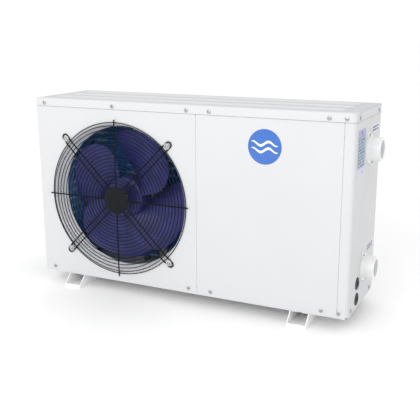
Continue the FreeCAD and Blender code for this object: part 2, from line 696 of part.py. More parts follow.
def blade(start_angle):
    """One twisted blade: its front edge is swept back with the radius, its back edge overlaps the next."""
    root = float(HUB_R) - 3
    tip = float(TIP)
    front, back = float(BLADE_FRONT), float(BLADE_BACK)
    steps = 8
    rows = []
    for ring in range(steps + 1):
        share = ring / steps
        radius = root + (tip - root) * share
        front_edge = start_angle + FRONT_EDGE_ROOT + FRONT_EDGE_SWEEP * share ** 2.8
        back_edge = start_angle + BACK_EDGE_ROOT + BACK_EDGE_SWEEP * (1 - (1 - share) ** 3.5)
        row = []
        for step in range(steps + 1):
            along = step / steps
            angle = math.radians(front_edge + (back_edge - front_edge) * along)
            camber = 0.84 * along + 0.16 * along ** 2
            depth = front + (back - front) * camber + TIP_RAKE * share * (1 - along)
            row.append(Vector(radius * math.cos(angle), depth, radius * math.sin(angle)))
        rows.append(row)
    skin = Part.BSplineSurface()
    skin.interpolate(rows)
    return skin.toShape().extrude(Vector(0, float(BLADE_SHEET), 0))


def fan_impeller():
    """Moulded hub cup and four blades."""
    hub = turned_body("fan_hub", [
        (SHAFT_R, 0), (HUB_R - 9, 0), (HUB_R, 9), (HUB_R, HUB_LENGTH), (HUB_R - 4, HUB_LENGTH),
        (HUB_R - 4, 8), (14, 8), (14, HUB_LENGTH - 10), (SHAFT_R, HUB_LENGTH - 10)],
        (0, HUB_FRONT, 0), "Y")
    blades = [feature("fan_blade", blade(90 * quarter)) for quarter in range(4)]
    impeller = fuse("fan_impeller", hub, *blades)
    keep("fan_impeller", put(impeller, inside(FAN_X, 0, FAN_Z)))


def fan_drive():
    """Nut, shaft and rotor, which turn with the impeller."""
    end = MOTOR_FRONT + MOTOR_LENGTH
    keep("fan_motor_shaft", cylinder("fan_motor_shaft", inside(FAN_X, HUB_FRONT - 14, FAN_Z), SHAFT_R,
                                     end - HUB_FRONT + 8, "Y"))
    nut = doc.addObject("Part::Prism", "fan_nut_hexagon")
    nut.Polygon = 6
    nut.Circumradius = 11
    nut.Height = 8
    put(nut, inside(FAN_X, HUB_FRONT - 10, FAN_Z), TURNS["Y"])
    washer = cylinder("fan_nut_washer", inside(FAN_X, HUB_FRONT - 2, FAN_Z), 14, 2, "Y")
    bore = cylinder("fan_nut_bore", inside(FAN_X, HUB_FRONT - 12, FAN_Z), SHAFT_R, 14, "Y")
    keep("fan_hub_nut", cut("fan_hub_nut", fuse("fan_nut_whole", nut, washer), bore))
    keep("fan_motor_rotor", tube("fan_motor_rotor", inside(FAN_X, MOTOR_FRONT + 20, FAN_Z), 26, SHAFT_R,
                                 MOTOR_LENGTH - 40, "Y"))


def fan_motor():
    """Housing with bearing seats and mounting ears, and the stator ring inside."""
    wall = 4
    inner = MOTOR_LENGTH - 2 * wall
    seat = BEARING_R
    profile = [(seat, 0), (MOTOR_R - 8, 0), (MOTOR_R, 8), (MOTOR_R, MOTOR_LENGTH - 8),
               (MOTOR_R - 8, MOTOR_LENGTH), (seat, MOTOR_LENGTH), (seat, MOTOR_LENGTH - BEARING_W - 2),
               (seat + wall, MOTOR_LENGTH - BEARING_W - 2), (seat + wall, MOTOR_LENGTH - wall),
               (MOTOR_R - wall - 4, MOTOR_LENGTH - wall), (MOTOR_R - wall, inner - 4), (MOTOR_R - wall, 12),
               (MOTOR_R - wall - 4, wall), (seat + wall, wall), (seat + wall, BEARING_W + 2),
               (seat, BEARING_W + 2)]
    can = turned_body("fan_motor_can", profile, inside(FAN_X, MOTOR_FRONT, FAN_Z), "Y")
    end = MOTOR_FRONT + MOTOR_LENGTH
    ears = []
    for side, rise in motor_ears():
        ears.append(box("fan_motor_ear", inside(FAN_X + side - 9, end - 5, FAN_Z + rise - 9),
                        inside(FAN_X + side + 9, end, FAN_Z + rise + 9)))
    cavity = cylinder("fan_motor_cavity", inside(FAN_X, end - 12, FAN_Z), MOTOR_R - 9, 12 - wall, "Y")
    bore = SCREW_R + SCREW_GAP
    holes = [cylinder("fan_motor_ear_hole", inside(FAN_X + side, end - 8, FAN_Z + rise), bore, 12, "Y")
             for side, rise in motor_ears()]
    frame = fuse("fan_motor_frame", can, *ears)
    keep("fan_motor_housing", cut("fan_motor_housing", frame, *holes, shaft_room(cavity)))
    keep("fan_motor_stator", tube("fan_motor_stator", inside(FAN_X, MOTOR_FRONT + 22, FAN_Z),
                                  MOTOR_R - wall, 27, MOTOR_LENGTH - 44, "Y"))
    bearings = [tube("fan_motor_bearing", inside(FAN_X, start, FAN_Z), BEARING_R, SHAFT_R + RUNNING_GAP,
                     BEARING_W, "Y")
                for start in (MOTOR_FRONT + 1, end - BEARING_W - 1)]
    keep("fan_motor_bearings", group("fan_motor_bearings", bearings))


def shaft_room(cavity):
    """The part of the rear chamber between the bearing seat and the ears' inner edge."""
    end = MOTOR_FRONT + MOTOR_LENGTH
    return cut("fan_motor_chamber", cavity,
               cylinder("fan_motor_seat_guard", inside(FAN_X, end - 20, FAN_Z), BEARING_R + 4, 30, "Y"))


def motor_ears():
    return [(side * EAR_REACH, rise * EAR_REACH) for side in (-1, 1) for rise in (-1, 1)]


def fan_motor_bracket():
    """Two upright channels that stand on the pan and carry the motor's ears."""
    face = MOTOR_FRONT + MOTOR_LENGTH
    floor = SHEET - PAN_DROP
    rails = []
    for side in (-EAR_REACH, EAR_REACH):
        web = box("bracket_web", inside(FAN_X + side - 14, face, floor),
                  inside(FAN_X + side + 14, face + 2, PANEL_TOP))
        lips = [box("bracket_lip", inside(FAN_X + side + edge - 1, face + 2, floor),
                    inside(FAN_X + side + edge + 1, face + 14, PANEL_TOP)) for edge in (-13, 13)]
        rails.append(fuse("bracket_rail", web, *lips))
    ties = [box("bracket_tie", inside(FAN_X - 31, face, FAN_Z + rise - 8),
                inside(FAN_X + 31, face + 2, FAN_Z + rise + 8)) for rise in (-90, 90)]
    whole = fuse("bracket_whole", *rails, *ties)
    bore = SCREW_R + SCREW_GAP
    holes = [cylinder("bracket_hole", inside(FAN_X + side, face - 1, FAN_Z + rise), bore, 5, "Y")
             for side, rise in motor_ears()]
    keep("fan_motor_bracket", cut("fan_motor_bracket", whole, *holes))
    screws = [screw("fan_motor_screw", inside(FAN_X + side, face - 5, FAN_Z + rise), "Y", -1, 4, 12)
              for side, rise in motor_ears()]
    keep("fan_motor_screws", group("fan_motor_screws", screws))


# ---------------------------------------------------------------- evaporator

TUBE_COUNT = 20


def coil_path(z):
    """The centre line of one tube run: along the left side, round the bend, along the back."""
    centre = COIL_THICK / 2
    left = float(LEFT + COIL_LEFT + centre)
    back = float(FRONT + COIL_BACK - centre)
    start = Vector(left, float(FRONT + COIL_FRONT) - 3, z)
    end = Vector(float(LEFT + COIL_RIGHT) + 3, back, z)
    return rounded_path([start, Vector(left, back, z), end], float(COIL_BEND + centre))


def evaporator():
    heights = [float(LIFT + TUBE_FIRST) + float(TUBE_PITCH) * row for row in range(TUBE_COUNT)]
    first = swept(coil_path(heights[0]), TUBE_R)
    runs = []
    for height in heights:
        run = first.copy()
        run.translate(Vector(0, 0, height - heights[0]))
        runs.append(run)
    cutter = feature("evaporator_tube_runs", Part.Compound(runs))

    left, back, bend = LEFT + COIL_LEFT, FRONT + COIL_BACK, COIL_BEND
    front, right = FRONT + COIL_FRONT, LEFT + COIL_RIGHT
    outer = COIL_BEND + COIL_THICK
    outline = [(left, front), (left + COIL_THICK, front), (left + COIL_THICK, back - outer),
               (left + outer, back - COIL_THICK), (right, back - COIL_THICK), (right, back),
               (left + outer, back), (left, back - outer)]
    centre = (left + COIL_THICK + bend, back - outer)
    block = pad_body("evaporator_block", "XY_Plane", outline, COIL_TALL, (0, 0, LIFT + COIL_FOOT),
                     {2: (centre, -1), 6: (centre, 1)})
    keep("evaporator_fins", cut("evaporator_fins", block, cutter))

    plates = [box("coil_plate", (right, back - COIL_THICK - 2, LIFT - PAN_DROP + SHEET),
                  (right + 1.5, back + 2, LIFT + COIL_FOOT + COIL_TALL)),
              box("coil_plate", (left - 2, front - 1.5, LIFT - PAN_DROP + SHEET),
                  (left + COIL_THICK + 2, front, LIFT + COIL_FOOT + COIL_TALL))]
    keep("evaporator_end_plates", group("evaporator_end_plates", [cut("coil_end_plate", plate, cutter)
                                                                  for plate in plates]))
    bends = []
    half = TUBE_PITCH / 2
    middle = COIL_THICK / 2
    for row in range(TUBE_COUNT - 1):
        height = LIFT + TUBE_FIRST + TUBE_PITCH * row + half
        if row % 2 == 0:
            at, turn = (right + 3, back - middle, height), Rotation(Vector(1, 0, 0), 90)
            turn = turn.multiply(Rotation(Vector(0, 0, 1), -90))
        else:
            at, turn = (left + middle, front - 3, height), Rotation(Vector(0, 0, 1), 90)
            turn = turn.multiply(Rotation(Vector(1, 0, 0), 90)).multiply(Rotation(Vector(0, 0, 1), 90))
        bends.append(torus("return_bend", at, half, TUBE_R, sweep=180, turn=turn))
    keep("evaporator_tubes", group("evaporator_tubes", [cutter] + bends))


# ---------------------------------------------------------------- refrigerant circuit

def compressor():
    """Welded rotary compressor with its suction accumulator, on three rubber feet."""
    dome = 26
    body = turned_body("compressor_shell", [
        (0, 0), (COMP_R - 22, 0), (COMP_R, dome - 6), (COMP_R, COMP_TALL - dome),
        (COMP_R - 22, COMP_TALL - 4),
        (8, COMP_TALL), (0, COMP_TALL)], inside(COMP_X, COMP_Y, COMP_FOOT))
    plate = cylinder("compressor_plate", inside(COMP_X, COMP_Y, COMP_FOOT + 2), 78, 3)
    holes = [cylinder("compressor_foot_hole", inside(*spot, COMP_FOOT - 2), 5, 12)
             for spot in compressor_feet()]
    keep("compressor", cut("compressor", fuse("compressor_whole", body, plate), *holes))
    drum = turned_body("compressor_accumulator", [
        (0, 0), (DRUM_R - 12, 0), (DRUM_R, 12), (DRUM_R, DRUM_TALL - 12), (DRUM_R - 12, DRUM_TALL),
        (0, DRUM_TALL)], inside(DRUM_X, DRUM_Y, COMP_FOOT + 40))
    keep("compressor_accumulator", drum)
    floor = SHEET - PAN_DROP
    mounts = []
    for spot in compressor_feet():
        block = cylinder("compressor_mount_block", inside(*spot, floor), 13, COMP_FOOT + 2 - floor)
        cap = cylinder("compressor_mount_cap", inside(*spot, COMP_FOOT + 5), 9, 5)
        neck = cylinder("compressor_mount_neck", inside(*spot, COMP_FOOT), 5, 8)
        mounts.append(fuse("compressor_mount", block, cap, neck))
    keep("compressor_mounts", group("compressor_mounts", mounts))
    cap = box("terminal_cover_block", inside(COMP_X - 24, COMP_Y - COMP_R - 16, COMP_FOOT + 140),
              inside(COMP_X + 24, COMP_Y - COMP_R + 8, COMP_FOOT + 178))
    seat = cylinder("terminal_cover_seat", inside(COMP_X, COMP_Y, COMP_FOOT + 130), COMP_R, 60)
    keep("compressor_terminal_cover", cut("compressor_terminal_cover", cap, seat))


def compressor_feet():
    reach = 68
    angles = [math.radians(angle) for angle in (90, 210, 330)]
    return [(COMP_X + reach * math.cos(angle), COMP_Y + reach * math.sin(angle)) for angle in angles]


def pipe(node, radius, *points):
    """A bent copper pipe through places counted from the casing's corner."""
    route = rounded_path([vector(inside(*point)) for point in points], 2.2 * float(radius))
    keep(node, feature(node, swept(route, radius)))


def refrigerant_circuit():
    valve_x, valve_y, valve_z = COMP_X + 40, COMP_Y + 55, 288
    body = cylinder("four_way_body", inside(valve_x - 45, valve_y, valve_z), 14, 90, "X")
    coil = cylinder("four_way_coil", inside(valve_x - 20, valve_y + 14, valve_z - 12), 11, 24)
    arm = box("four_way_arm", inside(valve_x - 24, valve_y, valve_z - 6),
              inside(valve_x - 16, valve_y + 16, valve_z + 6))
    keep("four_way_valve", fuse("four_way_valve", body, coil, arm))
    top = COMP_FOOT + COMP_TALL
    pipe("discharge_pipe", 5, (COMP_X, COMP_Y, top), (COMP_X, COMP_Y, top + 30),
         (valve_x, COMP_Y, top + 30), (valve_x, valve_y, valve_z + 40), (valve_x, valve_y, valve_z + 14))
    low = COMP_FOOT + 40 + DRUM_TALL
    pipe("suction_pipe", 6, (DRUM_X, DRUM_Y, low), (DRUM_X, DRUM_Y, low + 18),
         (valve_x + 24, DRUM_Y, low + 18),
         (valve_x + 24, valve_y, low + 18), (valve_x + 24, valve_y, valve_z - 14))
    pipe("liquid_pipe", 4, (SHELL_X - SHELL_R + 1, SHELL_Y + 20, 60), (800, SHELL_Y + 20, 60),
         (800, 232, 60), (590, 232, 60), (590, 232, 120))
    keep("filter_drier", turned_body("filter_drier", [
        (0, 0), (4, 0), (15, 14), (15, 76), (4, 90), (0, 90)], inside(590, 232, 120)))
    valve = fuse("expansion_valve",
                 cylinder("expansion_body", inside(590, 232, 210), 9, 34),
                 cylinder("expansion_head", inside(590, 232, 244), 20, 9),
                 cylinder("expansion_arm", inside(560, 232, 226), 4, 30, "X"))
    keep("expansion_valve", valve)


# ---------------------------------------------------------------- water circuit

def socket_spots():
    """The flange screws, diagonally above and below each water socket."""
    return [(inside(WIDTH + FLANGE_T, SHELL_Y - way * EAR_SIDE, z + way * EAR_RISE), "X", 1)
            for z in (OUTLET_Z, INLET_Z) for way in (-1, 1)]


def heat_exchanger():
    """Plastic shell with a foot and a domed lid; the titanium coil hangs inside it."""
    centre = inside(SHELL_X, SHELL_Y, SHELL_FOOT)
    top = SHELL_FOOT + SHELL_TALL
    inner = SHELL_R - SHELL_WALL
    body = tube("exchanger_tube", centre, SHELL_R, inner, SHELL_TALL)
    ports = [cylinder("exchanger_port", inside(SHELL_X + SHELL_R - 12, SHELL_Y, z), STUB_R, 13, "X")
             for z in (OUTLET_Z - 30, INLET_Z)]
    keep("exchanger_shell", cut("exchanger_shell", body, *ports))
    base = fuse("exchanger_base",
                cylinder("exchanger_base_plate", inside(SHELL_X, SHELL_Y, SHEET - PAN_DROP), SHELL_R + 8,
                         SHELL_FOOT - SHEET + PAN_DROP),
                cylinder("exchanger_base_plug", centre, inner, 12))
    keep("exchanger_base", base)
    lid = fuse("exchanger_lid",
               cylinder("exchanger_lid_plate", inside(SHELL_X, SHELL_Y, top), SHELL_R + 4, 10),
               cone("exchanger_lid_dome", inside(SHELL_X, SHELL_Y, top + 10), SHELL_R - 6, SHELL_R - 30, 12))
    keep("exchanger_lid", lid)
    turns = 11
    pitch = 30
    helix = Part.makeHelix(pitch, turns * pitch, 44)
    ring = Part.Wire(Part.makeCircle(7, Vector(44, 0, 0), Vector(0, 1, 0)))
    coil = Part.Wire(helix.Edges).makePipeShell([ring], True, True)
    coil.Placement = Placement(vector(inside(SHELL_X, SHELL_Y, SHELL_FOOT + 36)), Rotation())
    keep("titanium_coil", feature("titanium_coil", coil))


def water_socket(node, z, shell_z):
    """A flanged pipe socket: it takes a 50 mm pipe outside and joins the exchanger inside."""
    reach = SOCKET_REACH
    shoulder = 26
    profile = [(SOCKET_BORE, FLANGE_T), (SOCKET_BORE, reach), (SOCKET_R, reach), (SOCKET_R, FLANGE_T),
               (FLANGE_R, FLANGE_T), (FLANGE_R, 0), (STUB_R, 0), (STUB_R, -shoulder), (STUB_R - 4, -shoulder),
               (STUB_R - 4, FLANGE_T)]
    flange = turned_body(f"{node}_turned", profile, inside(WIDTH, SHELL_Y, z), "X")
    wall = SHELL_X + SHELL_R - 4
    run = [vector(inside(place, SHELL_Y, height)) for place, height in
           ((WIDTH - shoulder + 1, z), (WIDTH - shoulder - 6, z), (wall + 4, shell_z), (wall, shell_z))]
    outer = Part.makeLoft([Part.Wire(Part.makeCircle(float(STUB_R), point, Vector(1, 0, 0)))
                           for point in run], True, True)
    inner = Part.makeLoft([Part.Wire(Part.makeCircle(float(STUB_R) - 4, point, Vector(1, 0, 0)))
                           for point in run], True, True)
    neck = feature(f"{node}_neck", outer.cut(inner))
    ears = [cylinder(f"{node}_ear", inside(WIDTH, SHELL_Y - way * EAR_SIDE, z + way * EAR_RISE), EAR_R,
                     FLANGE_T, "X") for way in (-1, 1)]
    holes = [screw_hole(f"{node}_hole", at, axis, way) for at, axis, way in socket_spots()]
    keep(node, cut(node, fuse(f"{node}_whole", flange, neck, *ears), *holes))


def socket_screws():
    screws = [screw("socket_screw", at, axis, way, 4.4) for at, axis, way in socket_spots()]
    keep("socket_screws", group("socket_screws", screws))


def flow_switch():
    """A paddle switch body on the outlet side of the shell's lid."""
    top = SHELL_FOOT + SHELL_TALL + 22
    stem = cylinder("flow_switch_stem", inside(SHELL_X, SHELL_Y, top), 10, 10)
    head = box("flow_switch_head", inside(SHELL_X - 22, SHELL_Y - 14, top + 10),
               inside(SHELL_X + 22, SHELL_Y + 14, top + 34))
    keep("flow_switch", fuse("flow_switch", stem, head))


def drain_spout():
    """The condensate spout under the pan's drain hole."""
    under = -PAN_DROP
    spout = fuse("drain_spout_whole",
                 cylinder("drain_spout_rim", inside(FAN_X, 225, under - 2), 15, 2),
                 cylinder("drain_spout_pipe", inside(FAN_X, 225, under - 22), 8.5, 22),
                 cylinder("drain_spout_neck", inside(FAN_X, 225, under - 1), 9, 4))
    bore = cylinder("drain_spout_bore", inside(FAN_X, 225, under - 24), 6.5, 30)
    keep("drain_spout", cut("drain_spout", spout, bore))


# ---------------------------------------------------------------- electrical parts

def electrical():
    low = inside(BOX_X, BOX_Y, BOX_Z)
    high = inside(BOX_X + BOX_W, BOX_Y + BOX_D, BOX_Z + BOX_TALL)
    wall = 1.5
    inner_low = (low[0] + wall, low[1] - 1, low[2] + wall)
    inner_high = (high[0] - wall, high[1] - wall, high[2] - wall)
    keep("electrical_box", cut("electrical_box", box("electrical_box_outside", low, high),
                               box("electrical_box_inside", inner_low, inner_high)))
    keep("electrical_cover", box("electrical_cover", (low[0] - 2, low[1] - wall, low[2] - 2),
                                 (high[0] + 2, low[1], high[2] + 2)))
    board_back = high[1] - wall - 6
    keep("control_board", box("control_board", (low[0] + 12, board_back - 1.6, low[2] + 70),
                              (high[0] - 70, board_back, high[2] - 12)))
    block_base = high[1] - wall
    keep("contactor", box("contactor", (high[0] - 60, block_base - 56, high[2] - 74),
                          (high[0] - 14, block_base, high[2] - 14)))
    keep("run_capacitor", cylinder("run_capacitor", (high[0] - 38, high[1] - 34, low[2] + wall), 22, 82))
    rail = box("terminal_rail", (low[0] + 12, block_base - 14, low[2] + 14),
               (low[0] + 132, block_base, low[2] + 40))
    ribs = [box("terminal_rib", (low[0] + 12 + 20 * count, block_base - 26, low[2] + 14),
                (low[0] + 15 + 20 * count, block_base - 14, low[2] + 40)) for count in range(6)]
    keep("terminal_block", fuse("terminal_block", rail, *ribs))


def cable_glands():
    """Two rubber grommets: a flat domed face outside, a sleeve through the panel and a collar inside."""
    glands = []
    for count in range(2):
        at = inside(WIDTH, GLAND_Y, GLAND_LOW + GLAND_PITCH * count)
        glands.append(turned_body("cable_gland", [
            (GLAND_BORE, -14), (GLAND_BORE, 3), (GLAND_BORE + 2, 3.6), (GLAND_R - 4, 3.2), (GLAND_R, 1.6),
            (GLAND_R, 0), (GLAND_SLEEVE, 0), (GLAND_SLEEVE, -SHEET), (16, -SHEET), (16, -SHEET - 5),
            (GLAND_SLEEVE, -SHEET - 5), (GLAND_SLEEVE, -14)], at, "X"))
    keep("cable_glands", group("cable_glands", glands))


# ---------------------------------------------------------------- labels, badge and screws

def labels():
    side = WIDTH + LABEL_T
    keep("rating_label", box("rating_label", inside(WIDTH, 22, 383), inside(side, 102, 505)))
    spots = [(172, 252, 478, 500), (176, 254, 138, 156)]
    plain = [box("water_label", inside(WIDTH, start, low), inside(side, end, high))
             for start, end, low, high in spots]
    keep("water_labels", group("water_labels", plain))


def front_badge():
    """A plain round badge stuck on the service panel."""
    thick = 1.2
    keep("front_badge", cylinder("front_badge", inside(BADGE_X, -thick, BADGE_Z), BADGE_R, thick, "Y"))


def casing_screws():
    """The identical pan-head screws along the cover and the base."""
    screws = [screw("casing_screw", at, axis, way) for at, axis, way in on_the_skirt() + BASE_SPOTS]
    keep("casing_screws", group("casing_screws", screws))


base_pan()
foot("foot_left", -(ANCHOR_X / 2))
foot("foot_right", ANCHOR_X / 2)
foot_bolts()
top_cover()
front_fan_panel()
service_panel()
right_side_panel()
rear_panel()
corner_post()
partition_plate()
guard("rear_coil_guard", 42, COIL_RIGHT.value + 10, "X", 264, 1)
guard("left_coil_guard", 20, 228, "Y", 5.5, -1)
grille_rings()
grille_spokes()
grille_hub_plate()
grille_screws()
fan_impeller()
fan_drive()
fan_motor()
fan_motor_bracket()
evaporator()
compressor()
refrigerant_circuit()
heat_exchanger()
water_socket("water_outlet_socket", OUTLET_Z, OUTLET_Z - 30)
water_socket("water_inlet_socket", INLET_Z, INLET_Z)
socket_screws()
flow_switch()
drain_spout()
electrical()
cable_glands()
labels()
front_badge()
casing_screws()

doc.recompute()
faults = [item.Name for item in doc.Objects if {"Invalid", "Error"} & set(item.State)]
assert not faults, f"features that failed: {faults}"
for part in PARTS:
    assert not part.Shape.isNull() and part.Shape.isValid(), part.Label
    part.Shape.exportStep(f"parts/{part.Label}.step")
print(len(PARTS), "parts")
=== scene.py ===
import json
import math

import bmesh
import bpy
from mathutils import Euler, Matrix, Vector


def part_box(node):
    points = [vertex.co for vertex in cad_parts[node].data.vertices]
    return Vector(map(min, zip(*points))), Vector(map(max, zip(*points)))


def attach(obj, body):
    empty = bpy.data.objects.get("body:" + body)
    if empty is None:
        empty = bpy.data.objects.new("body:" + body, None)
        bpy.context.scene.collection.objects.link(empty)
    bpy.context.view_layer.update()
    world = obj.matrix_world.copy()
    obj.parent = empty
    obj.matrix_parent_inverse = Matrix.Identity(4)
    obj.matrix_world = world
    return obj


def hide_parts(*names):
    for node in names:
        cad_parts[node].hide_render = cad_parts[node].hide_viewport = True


# The looks of the pool heat pump, in metres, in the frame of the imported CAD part: +Z up, the front faces -Y.

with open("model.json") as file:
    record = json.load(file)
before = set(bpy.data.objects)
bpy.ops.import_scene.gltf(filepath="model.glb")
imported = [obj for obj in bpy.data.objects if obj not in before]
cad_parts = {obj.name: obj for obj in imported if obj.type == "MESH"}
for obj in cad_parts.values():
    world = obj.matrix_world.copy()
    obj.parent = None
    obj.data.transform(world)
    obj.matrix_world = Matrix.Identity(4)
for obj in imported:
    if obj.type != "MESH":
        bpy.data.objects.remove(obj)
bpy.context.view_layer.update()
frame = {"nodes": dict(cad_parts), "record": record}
nodes = frame["nodes"]
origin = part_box("front_fan_panel")[0]
scene = bpy.context.scene
scene.view_settings.view_transform = "Standard"

# Driving sizes in millimetres. Places count from the casing's front lower left corner.
MM = 0.001
SHEET = 1.2
WIDTH, DEPTH = 1000, 270
COVER_Z, PLAIN_TOP = 527, 551
PANEL_SEAMS = (547.5, 970)
FAN_X, FAN_Z = 282, 256
MOUTH_REACH = 229.5
TUBE_PITCH = 25.4


# ---------------------------------------------------------------- materials

class Shader:
    """A material being built: nodes are added by type, and wired to the principled surface."""

    def __init__(self, name):
        self.material = bpy.data.materials.new(name)
        self.material.use_nodes = True
        self.tree = self.material.node_tree
        self.surface = self.tree.nodes["Principled BSDF"]
        self.place = self.add("ShaderNodeTexCoord").outputs["Object"]

    def add(self, kind, **settings):
        node = self.tree.nodes.new(kind)
        for key, value in settings.items():
            setattr(node, key, value)
        return node

    def wire(self, source, target):
        self.tree.links.new(source, target)

    def set(self, **values):
        for key, value in values.items():
            self.surface.inputs[key.replace("_", " ")].default_value = value

    def noise(self, scale, detail=3.0, stretch=None):
        """A noise value between 0 and 1 at so many cells a metre, optionally stretched along the axes."""
        place = self.place
        if stretch:
            mapping = self.add("ShaderNodeMapping")
            mapping.inputs["Scale"].default_value = stretch
            self.wire(place, mapping.inputs["Vector"])
            place = mapping.outputs["Vector"]
        node = self.add("ShaderNodeTexNoise")
        node.inputs["Scale"].default_value = scale
        node.inputs["Detail"].default_value = detail
        self.wire(place, node.inputs["Vector"])
        return node.outputs["Fac"]

    def ramp(self, value, low, high, start=0.3, end=0.7):
        """A colour that runs from low to high while the value goes from start to end."""
        node = self.add("ShaderNodeValToRGB")
        node.color_ramp.elements[0].position = start
        node.color_ramp.elements[1].position = end
        node.color_ramp.elements[0].color = (*low, 1)
        node.color_ramp.elements[1].color = (*high, 1)
        self.wire(value, node.inputs["Fac"])
        return node.outputs["Color"]

    def level(self, value, low, high, start=0.3, end=0.7):
        """A number that runs from low to high while the value goes from start to end."""
        node = self.add("ShaderNodeMapRange")
        for key, number in zip(("From Min", "From Max", "To Min", "To Max"), (start, end, low, high)):
            node.inputs[key].default_value = number
        self.wire(value, node.inputs["Value"])
        return node.outputs["Result"]

    def colour(self, output):
        self.wire(output, self.surface.inputs["Base Color"])

    def roughness(self, output):
        self.wire(output, self.surface.inputs["Roughness"])

    def bump(self, height, distance):
        node = self.add("ShaderNodeBump")
        node.inputs["Strength"].default_value = 1.0
        node.inputs["Distance"].default_value = distance
        self.wire(height, node.inputs["Height"])
        self.wire(node.outputs["Normal"], self.surface.inputs["Normal"])


def shade(colour, factor):
    """A colour made darker or brighter, no brighter than white."""
    return tuple(min(1.0, channel * factor) for channel in colour)


def mottled(name, colour, spread=0.05, patch=9, rough=(0.35, 0.45), grain=900, depth=0.00003, **settings):
    """A surface with slight colour patches, a roughness that varies with them and a fine-grained bump."""
    shader = Shader(name)
    patches = shader.noise(patch, 4)
    shader.colour(shader.ramp(patches, shade(colour, 1 - spread), shade(colour, 1 + spread)))
    shader.roughness(shader.level(shader.noise(patch * 5, 3), *rough))
    shader.bump(shader.noise(grain, 2), depth)
    shader.set(**settings)
    return shader.material


def powder_coat(name, colour, spread=0.012):
    """White baked powder: nearly even colour, a soft sheen and an orange-peel surface."""
    return mottled(name, colour, spread, 4, (0.40, 0.50), 420, 0.00004, Specular_IOR_Level=0.35)


def cover_coat(name, unshaded_colour, shaded_colour):
    """The lid's powder coat, with painted shade on the plain sheet between and behind the beads."""
    shader = Shader(name)
    split = shader.add("ShaderNodeSeparateXYZ")
    shader.wire(shader.place, split.inputs["Vector"])
    height, depth = split.outputs["Z"], split.outputs["Y"]
    plain = origin.z + PLAIN_TOP * MM
    # The skirt and its rolled edge, the beads and a band along the front keep the full colour; the rest of the
    # plain top is painted darker as shade.
    kept_bright = [shader.level(height, 1, 0, plain - 3.5 * MM, plain - MM),
             shader.level(height, 0, 1, plain + 0.5 * MM, plain + 3.5 * MM),
             shader.level(depth, 1, 0, origin.y + 16 * MM, origin.y + 30 * MM)]
    while len(kept_bright) > 1:
        most = shader.add("ShaderNodeMath", operation="MAXIMUM")
        shader.wire(kept_bright.pop(), most.inputs[0])
        shader.wire(kept_bright.pop(), most.inputs[1])
        kept_bright.append(most.outputs["Value"])
    shader.colour(shader.ramp(kept_bright[0], shaded_colour, unshaded_colour, 0.0, 1.0))
    shader.roughness(shader.level(shader.noise(4, 4), 0.40, 0.50))
    shader.bump(shader.noise(420, 2), 0.00004)
    shader.set(Specular_IOR_Level=0.35)
    return shader.material


def galvanised(name):
    """Zinc-coated sheet with spangles."""
    shader = Shader(name)
    cells = shader.add("ShaderNodeTexVoronoi")
    cells.inputs["Scale"].default_value = 110
    shader.wire(shader.place, cells.inputs["Vector"])
    grey = shader.add("ShaderNodeSeparateColor")
    shader.wire(cells.outputs["Color"], grey.inputs["Color"])
    spangle = grey.outputs["Red"]
    shader.colour(shader.ramp(spangle, (0.56, 0.58, 0.60), (0.74, 0.76, 0.78), 0, 1))
    shader.roughness(shader.level(spangle, 0.32, 0.52, 0, 1))
    shader.bump(shader.noise(600, 2), 0.00002)
    shader.set(Metallic=0.9)
    return shader.material


def drawn_copper(name):
    """Copper pipe that has gone brown in patches."""
    shader = Shader(name)
    tarnish = shader.noise(38, 6)
    shader.colour(shader.ramp(tarnish, (0.30, 0.13, 0.07), (0.72, 0.36, 0.22), 0.35, 0.65))
    shader.roughness(shader.level(tarnish, 0.5, 0.24))
    shader.bump(shader.noise(900, 2), 0.00002)
    shader.set(Metallic=1.0)
    return shader.material


def zinc_plate(name):
    """Bright zinc-plated steel."""
    shader = Shader(name)
    shader.colour(shader.ramp(shader.noise(300, 4), (0.32, 0.32, 0.32), (0.54, 0.54, 0.54)))
    shader.roughness(shader.level(shader.noise(700, 2), 0.2, 0.38))
    shader.bump(shader.noise(1500, 2), 0.00002)
    shader.set(Metallic=1.0)
    return shader.material


def fin_stack(name, dull, highlight_colour, highlight_strength):
    """Coated fins with painted highlights along the drawn collar of each tube row, in patches."""
    shader = Shader(name)
    split = shader.add("ShaderNodeSeparateXYZ")
    shader.wire(shader.place, split.inputs["Vector"])
    rows = shader.add("ShaderNodeMath", operation="MULTIPLY")
    rows.inputs[1].default_value = 2 * math.pi / (TUBE_PITCH * MM)
    shader.wire(split.outputs["Z"], rows.inputs[0])
    wave = shader.add("ShaderNodeMath", operation="COSINE")
    shader.wire(rows.outputs["Value"], wave.inputs[0])
    # Painted highlight: a bright band at each tube row.
    collar_highlight = shader.level(wave.outputs["Value"], 0, highlight_strength, 0.35, 0.85)
    patches = shader.noise(14, 5, (1, 1, 0.5))
    patchy_highlight = shader.add("ShaderNodeMath", operation="MULTIPLY")
    shader.wire(collar_highlight, patchy_highlight.inputs[0])
    shader.wire(shader.level(patches, 0.1, 1, 0.40, 0.56), patchy_highlight.inputs[1])
    mixed = shader.add("ShaderNodeMath", operation="MULTIPLY_ADD")
    mixed.inputs[1].default_value = 0.75
    shader.wire(patchy_highlight.outputs["Value"], mixed.inputs[0])
    shader.wire(shader.level(patches, 0, 0.25, 0.3, 0.7), mixed.inputs[2])
    shader.colour(shader.ramp(mixed.outputs["Value"], dull, highlight_colour, 0.25, 0.72))
    shader.roughness(shader.level(patches, 0.3, 0.5))
    shader.bump(shader.noise(700, 2), 0.00003)
    shader.set(Specular_IOR_Level=0.5)
    return shader.material


def moulded_blade(name):
    """Dark indigo moulded plastic with faint flow lines."""
    shader = Shader(name)
    flow = shader.noise(26, 6, (1, 0.4, 1))
    shader.colour(shader.ramp(flow, (0.015, 0.018, 0.095), (0.030, 0.034, 0.180)))
    shader.roughness(shader.level(shader.noise(60, 3), 0.34, 0.46))
    shader.bump(shader.noise(500, 2), 0.00003)
    shader.set(Specular_IOR_Level=0.35)
    return shader.material


